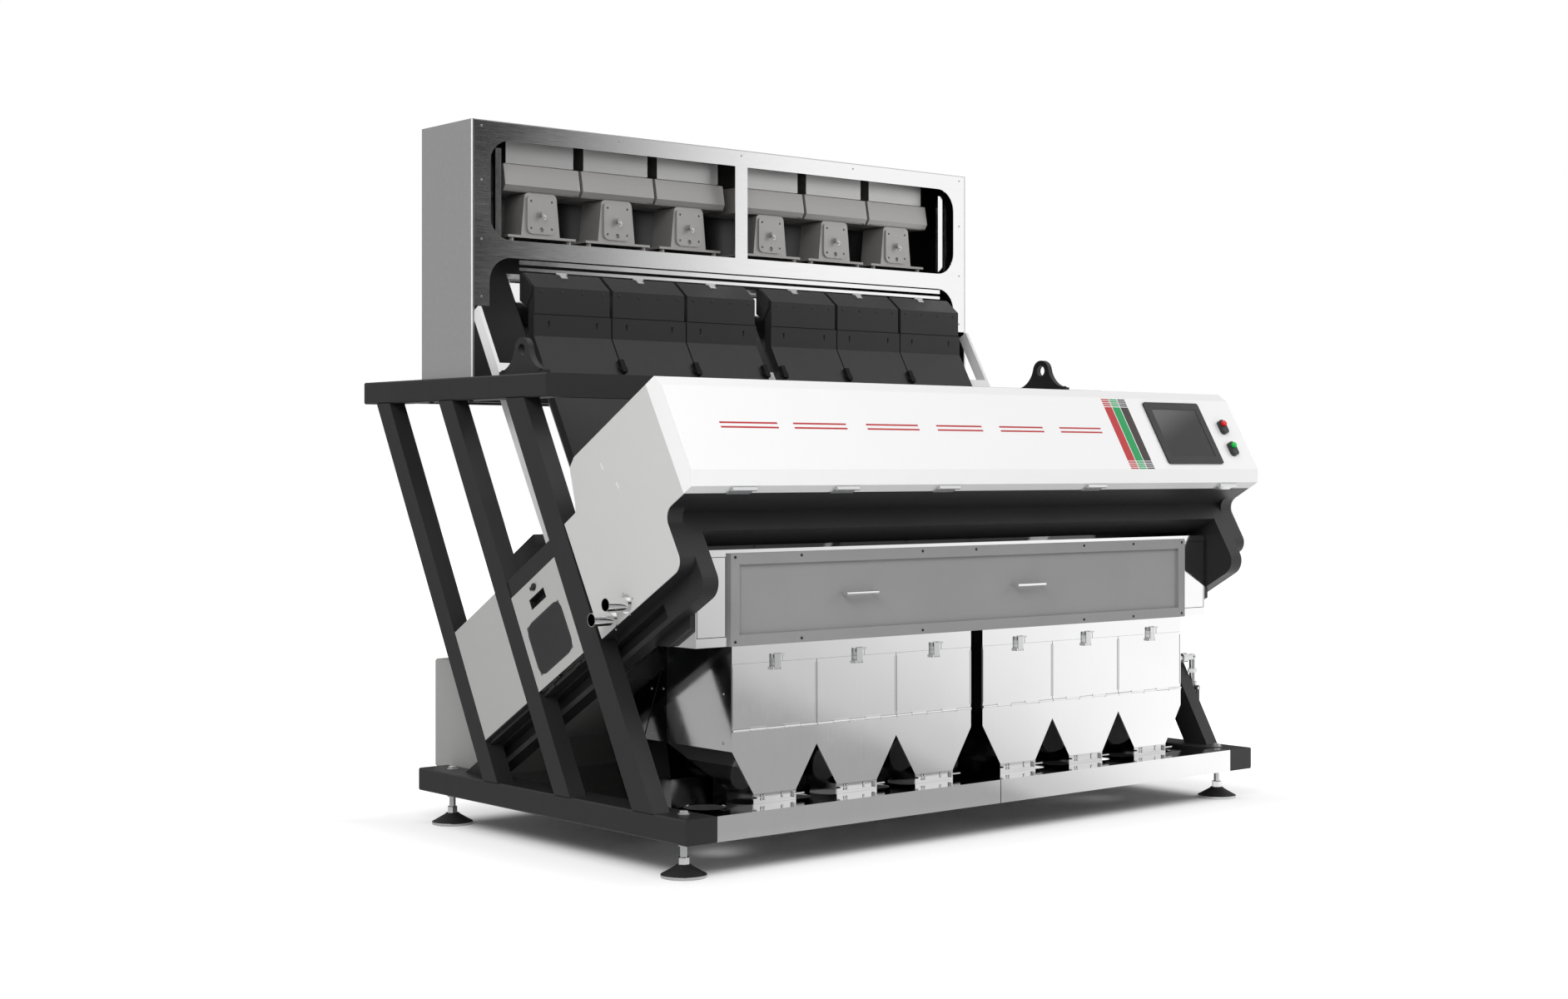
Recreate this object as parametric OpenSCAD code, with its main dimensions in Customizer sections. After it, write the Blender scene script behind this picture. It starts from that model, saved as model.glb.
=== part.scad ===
// Six-chute optical colour sorter: a leaning tube frame carries a feeder cabinet, six inclined
// chutes, a front optical box with a lift-up lid, a sorting box and two rows of outlet funnels.
// X runs along the width, +Y towards the back, +Z up from the floor.

/* [Base frame] */
// Width over the two base side beams
base_w = 2400; // [2340:10:2600]
// Length of a base side beam
base_d = 1366; // [1350:2:1420]
// Height of the base side beams and of the top bars
beam_h = 70; // [64:1:80]
// Width of a base side beam
beam_w = 110; // [106:1:120]
// Height of the base beams above the floor
foot_h = 100; // [92:1:120]
// Height of the base cross beams
cross_h = 54; // [46:1:58]
// Width of a cross beam
cross_w = 60; // [50:1:70]
// Bevel along the edges of the beams
beam_bevel = 4; // [2:0.5:6]
// Depth of the stainless front rail
rail_d = 66; // [60:1:80]
// Sheet thickness of the front rail
rail_t = 3; // [2:0.5:5]
// Gap where the two front rails meet
rail_gap = 3; // [1:0.5:6]
// Thickness of the outlet tray
tray_t = 3; // [2:0.5:5]
// Radius of a round hole in the outlet tray
tray_hole_r = 62; // [50:1:66]

/* [Feet] */
// Radius of a foot pad
pad_r = 63; // [50:1:70]
// Height of a foot pad
pad_h = 34; // [28:1:40]
// Radius of a levelling screw
stud_r = 10; // [8:0.5:12]
// Distance from the side face to the levelling screw
foot_inset = 66; // [60:1:76]
// Distance from the beam end to the levelling screw
foot_end = 92; // [80:1:110]

/* [Posts and top bars] */
// Width of a post across the machine
post_w = 56; // [50:1:60]
// Depth of a rear or middle post, measured level
post_cut = 80; // [70:1:90]
// Depth of a front post, measured level
front_post_cut = 97; // [90:1:105]
// Lean of the posts from upright
post_lean = 28.9; // [28:0.1:30]
// Rear edge of the front post where it stands on the beam
post_y = 239; // [232:1:244]
// Distance between the posts
post_pitch = 378; // [372:1:384]
// Height from the base beam to the top bar
post_h = 1146; // [1120:1:1180]
// Width of a top bar
bar_w = 100; // [90:1:110]
// Length of the top bar in front of the front post
bar_lead = 115; // [80:1:140]
// Length of the top bar behind the rear post
bar_tail = 80; // [40:1:100]
// Thickness of a lifting eye
eye_t = 20; // [14:1:26]
// Radius of the hole in a lifting eye
eye_hole_r = 18.5; // [14:0.5:22]
// Height of the hole of a lifting eye above the top bar
eye_z = 76; // [70:1:90]
// Half length of the foot of a lifting eye
eye_foot = 122; // [100:1:130]

/* [Leaning deck] */
// Slope of the support arms below level, and lean of the chutes from upright
deck_lean = 30; // [29.5:0.1:30.5]
// Lower face of the support arms, measured square to the slope
arm_a0 = 518; // [505:1:530]
// Depth of a support arm
arm_h = 73; // [66:1:80]
// Flange thickness of a support arm
arm_flange = 15; // [10:1:18]
// Depth of the hollow in the outer face of a support arm
arm_pocket = 34; // [20:1:38]
// Front edge of the arms and of the front frame along the slope
front_b = -326; // [-332:1:-322]
// Radius of the bend at the front of an arm
arm_bend_r = 50; // [40:1:55]
// Length of the upright cheek at the front of an arm along the slope
cheek_d = 130; // [110:1:150]

/* [Side covers] */
// Thickness of the side cover sheets
cover_t = 3; // [2:0.5:5]
// Wall of the black side frames
frame_wall = 4; // [3:0.5:6]
// Height of the step behind the lid, measured square to the slope
notch_a = 758; // [752:1:764]
// Top of the front box, measured square to the slope
box_a1 = 1099; // [1080:1:1120]
// Radius of the two bends of the side frame edge
frame_bend_r = 38; // [30:1:44]
// Rear edge of the side covers along the slope
cover_b1 = 100; // [92:1:104]
// Height of the side panels between the posts, measured square to the slope
panel_h = 364; // [350:1:380]
// Height of the brace bar between front and middle posts
brace_h = 54; // [46:1:60]
// Gap round the side panels
panel_gap = 1.5; // [1:0.5:3]

/* [Front box and lid] */
// Seam between the lid and the front box along the slope
seam_b = -430; // [-434:1:-426]
// Depth of the lid
lid_d = 62; // [56:1:70]
// Height of the slanted lower lip of the lid
lid_lip = 38; // [30:1:44]
// Set-back of the lower lip of the lid
lid_lip_d = 22; // [16:1:28]
// Height of the bevel along the lid's upper front edge
lid_bevel_h = 38; // [30:1:44]
// Depth of the bevel along the lid's upper front edge
lid_bevel_d = 18; // [14:1:24]
// Sheet thickness of the lid and of the front box
lid_t = 3; // [2:0.5:4]
// Radius of the lid hinge barrels
hinge_r = 7; // [5.5:0.5:9]
// Radius of the lid hinge pins
hinge_pin_r = 3; // [2:0.5:4]
// Length of one lid hinge barrel
barrel_l = 40; // [30:1:60]
// Running clearance of pins in barrels
run_gap = 0.1; // [0.05:0.01:0.3]
// Clearance between flat faces of moving pieces
face_gap = 0.5; // [0.3:0.1:1]
// Sheet thickness of the black front frame
front_t = 4; // [3:0.5:6]
// Height of the front frame below the step
front_h = 58; // [50:1:64]
// Depth of the return below the front frame
front_return = 94; // [80:1:98]

/* [Control panel] */
// Middle of the screen from the mid plane
screen_x = 892; // [860:1:920]
// Middle of the screen above the lid's lower crease
screen_a = 134; // [128:1:140]
// Width of the screen frame
bezel_w = 276; // [260:1:290]
// Height of the screen frame
bezel_h = 231; // [220:1:240]
// Height of the screen frame above the lid
bezel_t = 6; // [4:0.5:10]
// Width of the screen glass
glass_w = 220; // [210:1:230]
// Height of the screen glass
glass_h = 178; // [170:1:185]
// Depth of the glass in its frame
glass_sink = 2; // [1:0.5:3]
// Middle of the push buttons from the mid plane
button_x = 1108; // [1090:1:1120]
// Height of the stop button above the lid's lower crease
stop_a = 167; // [155:1:185]
// Height of the start button above the lid's lower crease
start_a = 83; // [70:1:95]
// Radius of a button cap
cap_r = 10; // [8:0.5:11]
// Height of a button cap above its guard
cap_h = 9; // [7:0.5:12]
// Travel of a button
button_travel = 4; // [2:0.5:5]
// Width of a button guard
guard_w = 30; // [28:1:36]
// Length of a button guard
guard_l = 50; // [46:1:60]
// Distance from a button down to the middle of its guard
guard_drop = 9; // [6:1:11]
// Height of a button guard
guard_h = 14; // [10:1:18]
// Width of a catch under the lid
clip_w = 84; // [60:1:100]

/* [Sorting box] */
// Front face of the sorting box
sort_y = 105; // [100:1:112]
// Depth of the sorting box
sort_d = 295; // [280:1:310]
// Underside of the sorting box above the base beams
sort_z0 = 445; // [440:1:452]
// Height of the sorting box
sort_h = 268; // [256:1:268]
// Clearance between the sorting box and the arms
sort_gap = 6; // [3:1:10]
// Sheet thickness of the sorting box and funnels
sheet_t = 2; // [1.5:0.5:3]
// Width of the access cover
access_w = 1938; // [1900:2:1960]
// Height of the access cover
access_h = 258; // [240:1:260]
// Thickness of the access cover's border
access_t = 7; // [5:0.5:9]
// Width of the access cover's border
access_border = 32; // [26:1:40]
// Distance between the two handles
handle_pitch = 708; // [660:2:760]
// Shift of the two handles from the mid plane
handle_shift = -139; // [-160:1:0]
// Width of a handle
handle_w = 124; // [100:1:140]
// Radius of a handle bar
handle_r = 5; // [4:0.5:7]
// Reach of a handle
handle_reach = 30; // [25:1:40]

/* [Funnels] */
// Front face of the funnels
funnel_y = 102; // [99:1:105]
// Distance between the funnels
funnel_pitch = 311; // [306:1:314]
// Gap between the two groups of funnels
funnel_split = 50; // [40:1:60]
// Gap between neighbouring funnels
funnel_gap = 1; // [1:0.5:3]
// Depth of the front funnels
funnel_d = 298; // [280:1:298]
// Height above the tray where the funnels start to narrow
taper_z = 165; // [150:1:175]
// Height of a spout above the tray
spout_h = 42; // [34:1:50]
// Width of a spout
spout_w = 156; // [140:1:170]
// Depth of a spout
spout_d = 120; // [110:1:130]
// Depth of the rear funnels
rear_funnel_d = 290; // [270:1:300]
// Set-back of the rear spouts in the rear funnels
rear_spout_set = 80; // [60:1:100]
// Height of a funnel door's hinge above the tray
door_z = 222; // [214:1:230]
// Height of a funnel door
door_h = 186; // [170:1:190]
// Radius of a funnel hinge barrel
door_hinge_r = 3; // [2.5:0.25:4]
// Radius of a funnel hinge pin
door_pin_r = 1.25; // [1:0.25:1.5]
// Width of a latch lever
latch_w = 22; // [16:1:28]
// Length of a latch lever
latch_l = 40; // [34:1:46]
// Thickness of a latch lever
latch_t = 3; // [2:0.5:4]
// Radius of a latch barrel
latch_r = 4; // [3.5:0.25:5]

/* [Rear units] */
// Front face of the rear housing along the slope
housing_b0 = 400; // [392:1:410]
// Rear face of the rear housing along the slope
housing_b1 = 815; // [800:1:830]
// Depth of the rear camera box
camera_box_d = 215; // [190:1:230]
// Height of the rear camera box
camera_box_h = 130; // [110:1:150]
// Front face of the control box
control_y0 = 1145; // [1140:1:1170]
// Rear face of the control box
control_y1 = 1465; // [1440:1:1480]
// Height of the control box
control_h = 345; // [320:1:350]
// Thickness of the service door
door_t = 4; // [3:0.5:6]
// Radius of the service door's hinge barrels
side_hinge_r = 5; // [4:0.5:6]
// Outer radius of a suction pipe
pipe_r = 19; // [16:0.5:22]
// Wall of a suction pipe
pipe_t = 1.5; // [1:0.5:3]
// Length of the suction pipes outside the side cover
pipe_out = 72; // [50:1:90]
// Radius of the flange of a suction pipe
flange_r = 27; // [25:0.5:28]
// Radius of the air pipe
air_r = 11; // [9:0.5:13]
// Distance from the right side face to the middle of the air pipe's drop
air_out = 20; // [18:1:40]
// Place of the air pipe behind the base's front
air_y = 268; // [262:1:270]
// Height of the air pipe above the base beams
air_z = 285; // [280:1:300]

/* [Feeder cabinet] */
// Distance from the side face to the cabinet
cabinet_inset = 114; // [108:1:120]
// Depth of the cabinet
cabinet_d = 299; // [290:1:320]
// Height of the cabinet above the top bars
cabinet_h = 816; // [800:1:840]
// Distance from the rear end of the top bars to the cabinet
cabinet_tail = 169; // [150:1:190]
// Sheet thickness of the cabinet
cabinet_t = 3; // [2:0.5:5]
// Radius of the cabinet's front corner bends
cabinet_bend = 10; // [6:1:14]
// Lower edge of the front plate above the top bars
plate_z = 232; // [222:1:240]
// Width of the margins beside the windows
window_margin = 66; // [60:1:72]
// Upper edge of the lower window above the top bars
low_window_z = 388; // [378:1:396]
// Lower edge of the upper window above the top bars
window_z0 = 444; // [436:1:452]
// Upper edge of the upper window above the top bars
window_z1 = 759; // [750:1:768]
// Corner radius of the windows
window_r = 80; // [60:1:90]
// Width of the divider in the upper window
divider_w = 54; // [44:1:64]

/* [Chutes and feeders] */
// Distance between the chutes
chute_pitch = 302; // [300:1:306]
// Gap between the two groups of chutes
chute_split = 60; // [50:1:70]
// Gap between neighbouring chute covers
chute_gap = 5; // [4:1:8]
// Distance from the cabinet's front to the upright part of the chute covers
chute_front = 117; // [108:1:124]
// Lower edge of the upright part of the chute covers above the top bars
chute_z0 = 136; // [128:1:144]
// Upper edge of the upright part of the chute covers above the top bars
chute_z1 = 291; // [284:1:298]
// Upper edge of the lower cover plates above the top bars
lap_z = 204; // [190:1:220]
// Rise of the roof of the chute covers
roof_h = 48; // [40:1:54]
// Depth of the roof of the chute covers
roof_d = 61; // [50:1:70]
// Depth of a chute below its cover
chute_d = 34; // [28:1:38]
// Sheet thickness of the chutes and their covers
chute_t = 3; // [2:0.5:4]
// Lower end of the chutes, measured square to the slope
chute_a0 = 1010; // [1000:1:1020]
// Thickness of a chute rail
chute_rail_t = 12; // [8:1:14]
// Depth of a chute rail
chute_rail_d = 40; // [34:1:46]
// Height of the feeder shelf above the top bars
shelf_z = 440; // [432:1:444]
// Width of a feeder tray
tray_w = 290; // [280:1:294]
// Distance from the cabinet's front to the feeder trays
tray_set = 52; // [46:1:58]
// Height of a feeder tray above the shelf
tray_z = 170; // [160:1:180]
// Height of a feeder tray
trough_h = 85; // [76:1:90]
// Depth of a feeder tray
trough_d = 205; // [190:1:210]
// Width of a feed hopper
hopper_w = 262; // [250:1:270]
// Depth of a feed hopper
hopper_d = 130; // [110:1:136]
// Height of the feed hopper's lower edge above the tray's upper edge
hopper_lift = 4; // [3:1:8]
// Width of a feeder drive
drive_w = 150; // [130:1:160]
// Height of the legs below a feeder drive
drive_leg = 22; // [18:1:26]

/* [Hidden] */
$fn = 48;

// Half widths, heights and the slanted frame
half_w = base_w / 2;
inner_w = half_w - beam_w;
post_x = half_w - post_w;
deck_z = foot_h + beam_h;
tray_z1 = foot_h + cross_h + tray_t;
bar_z = deck_z + post_h;
bar_top = bar_z + beam_h;
post_rise = post_h * tan(post_lean);
bar_y0 = post_y - front_post_cut + post_rise - bar_lead;
bar_y1 = post_y + 2 * post_pitch + post_rise + bar_tail;
lid_b = seam_b - lid_d;
crease_a = notch_a + lid_lip;
arm_a1 = arm_a0 + arm_h;
panel_a0 = arm_a1 + face_gap;
panel_a1 = panel_a0 + panel_h;
group_signs = [-1, 1];
// Overlap of cutting shapes, and the hairline gap between seated faces
cut = 1;
seat_gap = 0.05;

// Height and depth of a point given square to the slope (a) and along it (b)
function ty(a, b) = a * sin(deck_lean) + b * cos(deck_lean);
function tz(a, b) = deck_z + a * cos(deck_lean) - b * sin(deck_lean);
function tilted(pts) = [for (p = pts) [ty(p[0], p[1]), tz(p[0], p[1])]];
function slope_a(y, z) = y * sin(deck_lean) + (z - deck_z) * cos(deck_lean);
function slope_b(y, z) = y * cos(deck_lean) - (z - deck_z) * sin(deck_lean);
// Place along the slope of a post edge that stands at y on the beam
function post_b(a, y) =
  (y - a * (sin(deck_lean) - cos(deck_lean) * tan(post_lean)))
  / (cos(deck_lean) + sin(deck_lean) * tan(post_lean));

// Rounded outlines: each corner is [x, y, radius]
function unit(v) = v / norm(v);
function xy(p) = [p[0], p[1]];
function bend(p0, p1, p2, r, n) =
  let (u = unit(p0 - p1), v = unit(p2 - p1), half = acos(u * v) / 2,
       c = p1 + unit(u + v) * r / sin(half),
       s = p1 + u * r / tan(half) - c, e = p1 + v * r / tan(half) - c,
       a0 = atan2(s[1], s[0]), turn = (atan2(e[1], e[0]) - a0 + 540) % 360 - 180)
  [for (k = [0 : n]) c + r * [cos(a0 + turn * k / n), sin(a0 + turn * k / n)]];
function rounded(pts, n = 8) =
  let (m = len(pts))
  [for (i = [0 : m - 1])
    each (pts[i][2] > 0
      ? bend(xy(pts[(i + m - 1) % m]), xy(pts[i]), xy(pts[(i + 1) % m]), pts[i][2], n)
      : [xy(pts[i])])];

// Folded sheet: a path thickened to its left by t
function left_of(p, q) = let (u = unit(q - p)) [-u[1], u[0]];
function shifted(pts, t) =
  let (m = len(pts) - 1)
  [for (i = [0 : m])
    let (n0 = left_of(pts[max(i - 1, 0)], pts[max(i, 1)]),
         n1 = left_of(pts[min(i, m - 1)], pts[min(i + 1, m)]))
    pts[i] + (n0 + n1) * t / (1 + n0 * n1)];
function reversed(pts) = [for (i = [len(pts) - 1 : -1 : 0]) pts[i]];
function sheet(pts, t) = concat(pts, reversed(shifted(pts, t)));

// Extrusions along X and Y, mirrored pairs and plain boxes
module along_x(x0, x1) translate([x0, 0, 0]) rotate([90, 0, 90]) linear_extrude(x1 - x0) children();
module along_y(y0, y1) translate([0, y1, 0]) rotate([90, 0, 0]) linear_extrude(y1 - y0) children();
module pair() {
  children();
  mirror([1, 0, 0]) children();
}
module block(x0, x1, y0, y1, z0, z1) translate([x0, y0, z0]) cube([x1 - x0, y1 - y0, z1 - z0]);
module deck_block(x0, x1, a0, a1, b0, b1)
  along_x(x0, x1) polygon(tilted([[a0, b0], [a1, b0], [a1, b1], [a0, b1]]));
module rod_b(x, a, b0, b1, r)
  translate([x, ty(a, b0), tz(a, b0)]) rotate([-90 - deck_lean, 0, 0]) cylinder(r = r, h = b1 - b0);
module rod_x(x0, x1, y, z, r) translate([x0, y, z]) rotate([0, 90, 0]) cylinder(r = r, h = x1 - x0);
function bevelled(x0, x1, z0, z1, c) = [
  [x0 + c, z0], [x1 - c, z0], [x1, z0 + c], [x1, z1 - c],
  [x1 - c, z1], [x0 + c, z1], [x0, z1 - c], [x0, z0 + c]
];
// Origin below the middle of the whole machine
mid_y = (ty(crease_a, lid_b) + bar_y1) / 2;
right_out = air_out + 19;
module placed() translate([(pipe_out - right_out) / 2, -mid_y, 0]) children();

// Base frame
foot_ys = [foot_end, base_d - foot_end];
stud_gap = 0.3;
module at_feet()
  for (sx = group_signs, y = foot_ys)
    translate([sx * (half_w - foot_inset), y, 0]) children();

module base_side_beams() {
  color("#2f2f31") difference() {
    pair() along_y(0, base_d)
      polygon(bevelled(half_w - beam_w, half_w, foot_h, deck_z, beam_bevel));
    at_feet() translate([0, 0, foot_h - cut])
      cylinder(r = stud_r + stud_gap, h = beam_h + 2 * cut);
  }
}

// The front cross beam stays clear of the spouts behind it
spout_clear = 4;
cross_ys = [(base_d - cross_w) / 2, base_d - 2 * cross_w];
module cross_beam(y0, y1) block(-inner_w, inner_w, y0, y1, foot_h, foot_h + cross_h);
module base_cross_beams() {
  color("#2f2f31") {
    cross_beam(rail_d, funnel_y - spout_clear);
    for (y = cross_ys) cross_beam(y, y + cross_w);
  }
}

module base_front_rails() {
  path = [[rail_d, foot_h], [0, foot_h], [0, deck_z], [rail_d, deck_z]];
  color("#d6d7d9") pair() along_x(rail_gap / 2, inner_w)
    polygon(sheet(reversed(path), rail_t));
}

// Funnel middles, from left to right
function funnel_x(i) =
  i < 3 ? -funnel_split / 2 - (2.5 - i) * funnel_pitch : funnel_split / 2 + (i - 2.5) * funnel_pitch;
tray_hole_y = funnel_y + spout_d;
rear_y0 = funnel_y + funnel_d + funnel_gap;
tray_holes = [for (s = group_signs, k = [0 : 3]) s * (funnel_split / 2 + k * funnel_pitch)];
module outlet_tray() {
  spout_cut_w = spout_w - 2 * sheet_t;
  spout_cut_d = spout_d - 2 * sheet_t;
  color("#cfd0d2") difference() {
    block(-inner_w, inner_w, rail_d, control_y0 - face_gap, foot_h + cross_h, tray_z1);
    for (x = [tray_holes[1], tray_holes[2], tray_holes[3], tray_holes[5], tray_holes[6], tray_holes[7]])
      translate([x, tray_hole_y, foot_h]) cylinder(r = tray_hole_r, h = beam_h);
    for (i = [0 : 5], y = [funnel_y, rear_y0 + rear_spout_set])
      translate([funnel_x(i) - spout_cut_w / 2, y + sheet_t, foot_h])
        cube([spout_cut_w, spout_cut_d, beam_h]);
  }
}

pad_rim = 8;
pad_neck_r = 24;
module foot_pads() {
  color("#1c1c1d") at_feet() rotate_extrude()
    polygon([[0, 0], [pad_r, 0], [pad_r, pad_rim], [pad_r - pad_rim, pad_rim + 4],
             [pad_neck_r, pad_h - 4], [pad_neck_r - 4, pad_h], [0, pad_h]]);
}

nut_r = 18;
nut_h = 16;
stud_top = 5;
module foot_screws() {
  color("#b8babc") at_feet() {
    translate([0, 0, pad_h]) cylinder(r = stud_r, h = deck_z + stud_top - pad_h);
    translate([0, 0, foot_h - nut_h]) cylinder(r = nut_r, h = nut_h, $fn = 6);
  }
}

// Posts and top bars
function post_outline(y, depth) = [
  [y - depth, deck_z], [y, deck_z], [y + post_rise, bar_z], [y - depth + post_rise, bar_z]
];
module frame_posts() {
  color("#2f2f31") pair() along_x(post_x, half_w) {
    polygon(post_outline(post_y, front_post_cut));
    for (k = [1, 2]) polygon(post_outline(post_y + k * post_pitch, post_cut));
  }
}

module top_side_bars() {
  color("#2f2f31") pair() along_y(bar_y0, bar_y1)
    polygon(bevelled(half_w - bar_w, half_w, bar_z, bar_top, beam_bevel));
}

cabinet_y1 = bar_y1 - cabinet_tail;
cabinet_y0 = cabinet_y1 - cabinet_d;
module top_cross_beams() {
  color("#2f2f31") for (y = [bar_y0, cabinet_y0, cabinet_y1 - cross_w])
    block(-half_w + bar_w, half_w - bar_w, y, y + cross_w, bar_z, bar_top);
}

eye_r = 38;
eye_base = 14;
eye_inset = 65;
eye_y = bar_y0 + 225;
// The flare of an eye's foot runs into the round of the eye
flare_r = (eye_foot * eye_foot + pow(eye_z - eye_base, 2) - eye_r * eye_r)
          / (2 * (eye_r + eye_z - eye_base));
flare_top = eye_z + eye_r * (eye_base + flare_r - eye_z) / (flare_r + eye_r) - 2;
module eye_outline() {
  translate([eye_y, bar_top]) difference() {
    union() {
      translate([0, eye_z]) circle(r = eye_r);
      difference() {
        translate([-eye_foot, 0]) square([2 * eye_foot, flare_top]);
        for (s = group_signs) translate([s * eye_foot, eye_base + flare_r]) circle(r = flare_r);
      }
    }
    translate([0, eye_z]) circle(r = eye_hole_r);
  }
}
module lifting_eyes() {
  color("#2f2f31") pair() along_x(half_w - eye_inset - eye_t, half_w - eye_inset) eye_outline();
}

// Support arms with the upright cheeks at their front ends, and a wedge plate under each arm beside
// the sorting box
wedge_h = 35;
wedge_t = 12;
function under_z(y) = deck_z + (arm_a0 - y * sin(deck_lean)) / cos(deck_lean);
function under_y(z) = (arm_a0 - (z - deck_z) * cos(deck_lean)) / sin(deck_lean);
module support_arms() {
  foot_b0 = arm_a0 / tan(deck_lean);
  foot_b1 = arm_a1 / tan(deck_lean);
  outline = [
    [notch_a, front_b, 0], [arm_a0, front_b, arm_bend_r], [arm_a0, foot_b0, 0],
    [arm_a1, foot_b1, 0], [arm_a1, front_b + cheek_d, 20], [notch_a, front_b + cheek_d, 0]
  ];
  color("#2f2f31") pair() difference() {
    along_x(inner_w, post_x) polygon(tilted(rounded(outline)));
    deck_block(post_x - arm_pocket, post_x + cut, arm_a0 + arm_flange, arm_a1 - arm_flange,
               front_b + cheek_d + 60, foot_b0 - 60);
  }
  color("#2f2f31") {
    pair() along_x(inner_w - sort_gap + 1, inner_w + wedge_t) polygon([
      [sort_y, under_z(sort_y) + wedge_t], [sort_y, under_z(sort_y) - wedge_h],
      [under_y(sort_bottom + wedge_h), sort_bottom], [under_y(sort_bottom), sort_bottom],
      [under_y(sort_bottom), sort_bottom + wedge_t]
    ]);
    pair() along_x(post_x, sill_x) {
      polygon(bay_outline(arm_a1 - sill_t, arm_a1, post_y, middle_front_y, 0));
      polygon(bay_outline(arm_a1 - sill_t, arm_a1, post_y + post_pitch, rear_front_y, 0));
    }
    for (b = hinge_bs) {
      deck_block(-hinge_x, -sill_x, arm_a1 - sill_t, hinge_a, b - side_hinge_l / 2, b + side_hinge_l / 2);
      rod_b(-hinge_x, hinge_a, b - side_hinge_l / 2, b + side_hinge_l / 2, side_hinge_r);
      rod_b(-hinge_x, hinge_a, b - side_hinge_l, b + side_hinge_l, side_pin_r);
    }
  }
}

function bay_outline(a0, a1, y_front, y_rear, gap) = tilted([
  [a0, post_b(a0, y_front) + gap], [a1, post_b(a1, y_front) + gap],
  [a1, post_b(a1, y_rear) - gap], [a0, post_b(a0, y_rear) - gap]
]);
middle_front_y = post_y + post_pitch - post_cut;
rear_front_y = post_y + 2 * post_pitch - post_cut;
module brace_bars() {
  color("#2f2f31") pair() along_x(post_x, half_w - cover_t)
    polygon(bay_outline(panel_a1 - brace_h, panel_a1, post_y, middle_front_y, 0));
}

// Side frames and covers at the two ends of the front box
// Rear edge of the covers: a step over the arms, a waist and a shoulder below the top
step_drop = 142;
step_in = 65;
waist_drop = 115;
waist_in = 77;
shoulder_drop = 16;
shoulder_in = 103;
top_in = 137;
step_a = box_a1 - step_drop;
step_b = cover_b1 - step_in;
waist_a = box_a1 - waist_drop;
waist_b = cover_b1 - waist_in;
shoulder_a = box_a1 - shoulder_drop;
shoulder_b = cover_b1 - shoulder_in;
top_b = cover_b1 - top_in;
function side_corners() = [
  [notch_a, seam_b + face_gap, 0], [notch_a, front_b, frame_bend_r], [arm_a1, front_b, frame_bend_r],
  [arm_a1, cover_b1, 0], [step_a, cover_b1, 0], [step_a + 1, step_b, 10],
  [waist_a, waist_b, 20], [shoulder_a, shoulder_b, 20],
  [box_a1, top_b, 20], [box_a1, seam_b + face_gap, 0]
];
pipe_upper = [264, 565];
pipe_lower = [330, 520];
pipes_yz = [pipe_upper, pipe_lower];
module pipe_holes(r) {
  for (p = pipes_yz) rod_x(-half_w - cut, -inner_w + beam_w, p[0], deck_z + p[1], r);
}

module side_frames() {
  hollow_a0 = arm_a1 + 60;
  color("#2f2f31") difference() {
    pair() difference() {
      along_x(post_x, half_w - cover_t) polygon(tilted(rounded(side_corners())));
      deck_block(post_x - cut, half_w - cover_t - frame_wall, notch_a + frame_wall, box_a1 - frame_wall,
                 seam_b + 20, cover_b1 - 150);
      deck_block(post_x - cut, half_w - cover_t - frame_wall, hollow_a0, notch_a - 20,
                 front_b + frame_wall + cheek_d, cover_b1 - frame_wall);
    }
    pipe_holes(pipe_r + stud_gap);
  }
}

module side_covers() {
  color("#c9c9c6") difference() {
    pair() along_x(half_w - cover_t, half_w) polygon(tilted(rounded(side_corners())));
    pipe_holes(pipe_r + stud_gap);
  }
}

// Fixed side panels: both rear bays and the right middle bay
panel_d = 40;
module panel_tray(x0, x1, y_front, y_rear, a1) {
  lip = panel_gap + cover_t;
  difference() {
    along_x(x0, x1) polygon(bay_outline(panel_a0, a1, y_front, y_rear, seat_gap));
    along_x(x0 - cut, x1 - cover_t)
      polygon(bay_outline(panel_a0 + lip, a1 - lip, y_front, y_rear, lip));
    along_x(x1 - 2 * cover_t, x1 + cut) difference() {
      polygon(bay_outline(panel_a0 - lip, a1 + lip, y_front, y_rear, -lip));
      polygon(bay_outline(panel_a0 + panel_gap, a1 - panel_gap, y_front, y_rear, panel_gap));
    }
  }
}
module side_panels() {
  color("#c9c9c6") {
    pair() panel_tray(half_w - panel_d, half_w, post_y + post_pitch, rear_front_y, panel_a1);
    panel_tray(half_w - panel_d, half_w, post_y, middle_front_y, door_a1);
  }
}

// Service door on the left, which tips outwards about hinges on the arm's sill
door_a1 = panel_a1 - brace_h - panel_gap;
door_mid_b = (post_b(panel_a0, post_y) + post_b(panel_a0, middle_front_y)) / 2;
sill_t = 10;
side_pin_r = side_hinge_r / 2;
side_hinge_l = 30;
sill_x = half_w - 2 * side_hinge_r - 3;
hinge_x = half_w - door_t - side_hinge_r - face_gap;
hinge_a = panel_a0 + side_hinge_r;
hinge_half = 75;
hinge_bs = [door_mid_b - hinge_half, door_mid_b + hinge_half];
filter_w = 195;
filter_h = 162;
filter_a0 = panel_a0 + 36;
filter_r = 36;
handle_a0 = filter_a0 + filter_h + 30;
handle_l = 86;
handle_h = 32;
lock_a = door_a1 - 26;
lock_r = 11;
module filter_outline(grow) {
  b0 = door_mid_b - filter_w / 2 - grow;
  b1 = door_mid_b + filter_w / 2 + grow;
  a0 = filter_a0 - grow;
  a1 = filter_a0 + filter_h + grow;
  r = filter_r + grow;
  polygon(tilted(rounded([[a0, b0, r], [a1, b0, r], [a1, b1, r], [a0, b1, r]])));
}
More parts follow.
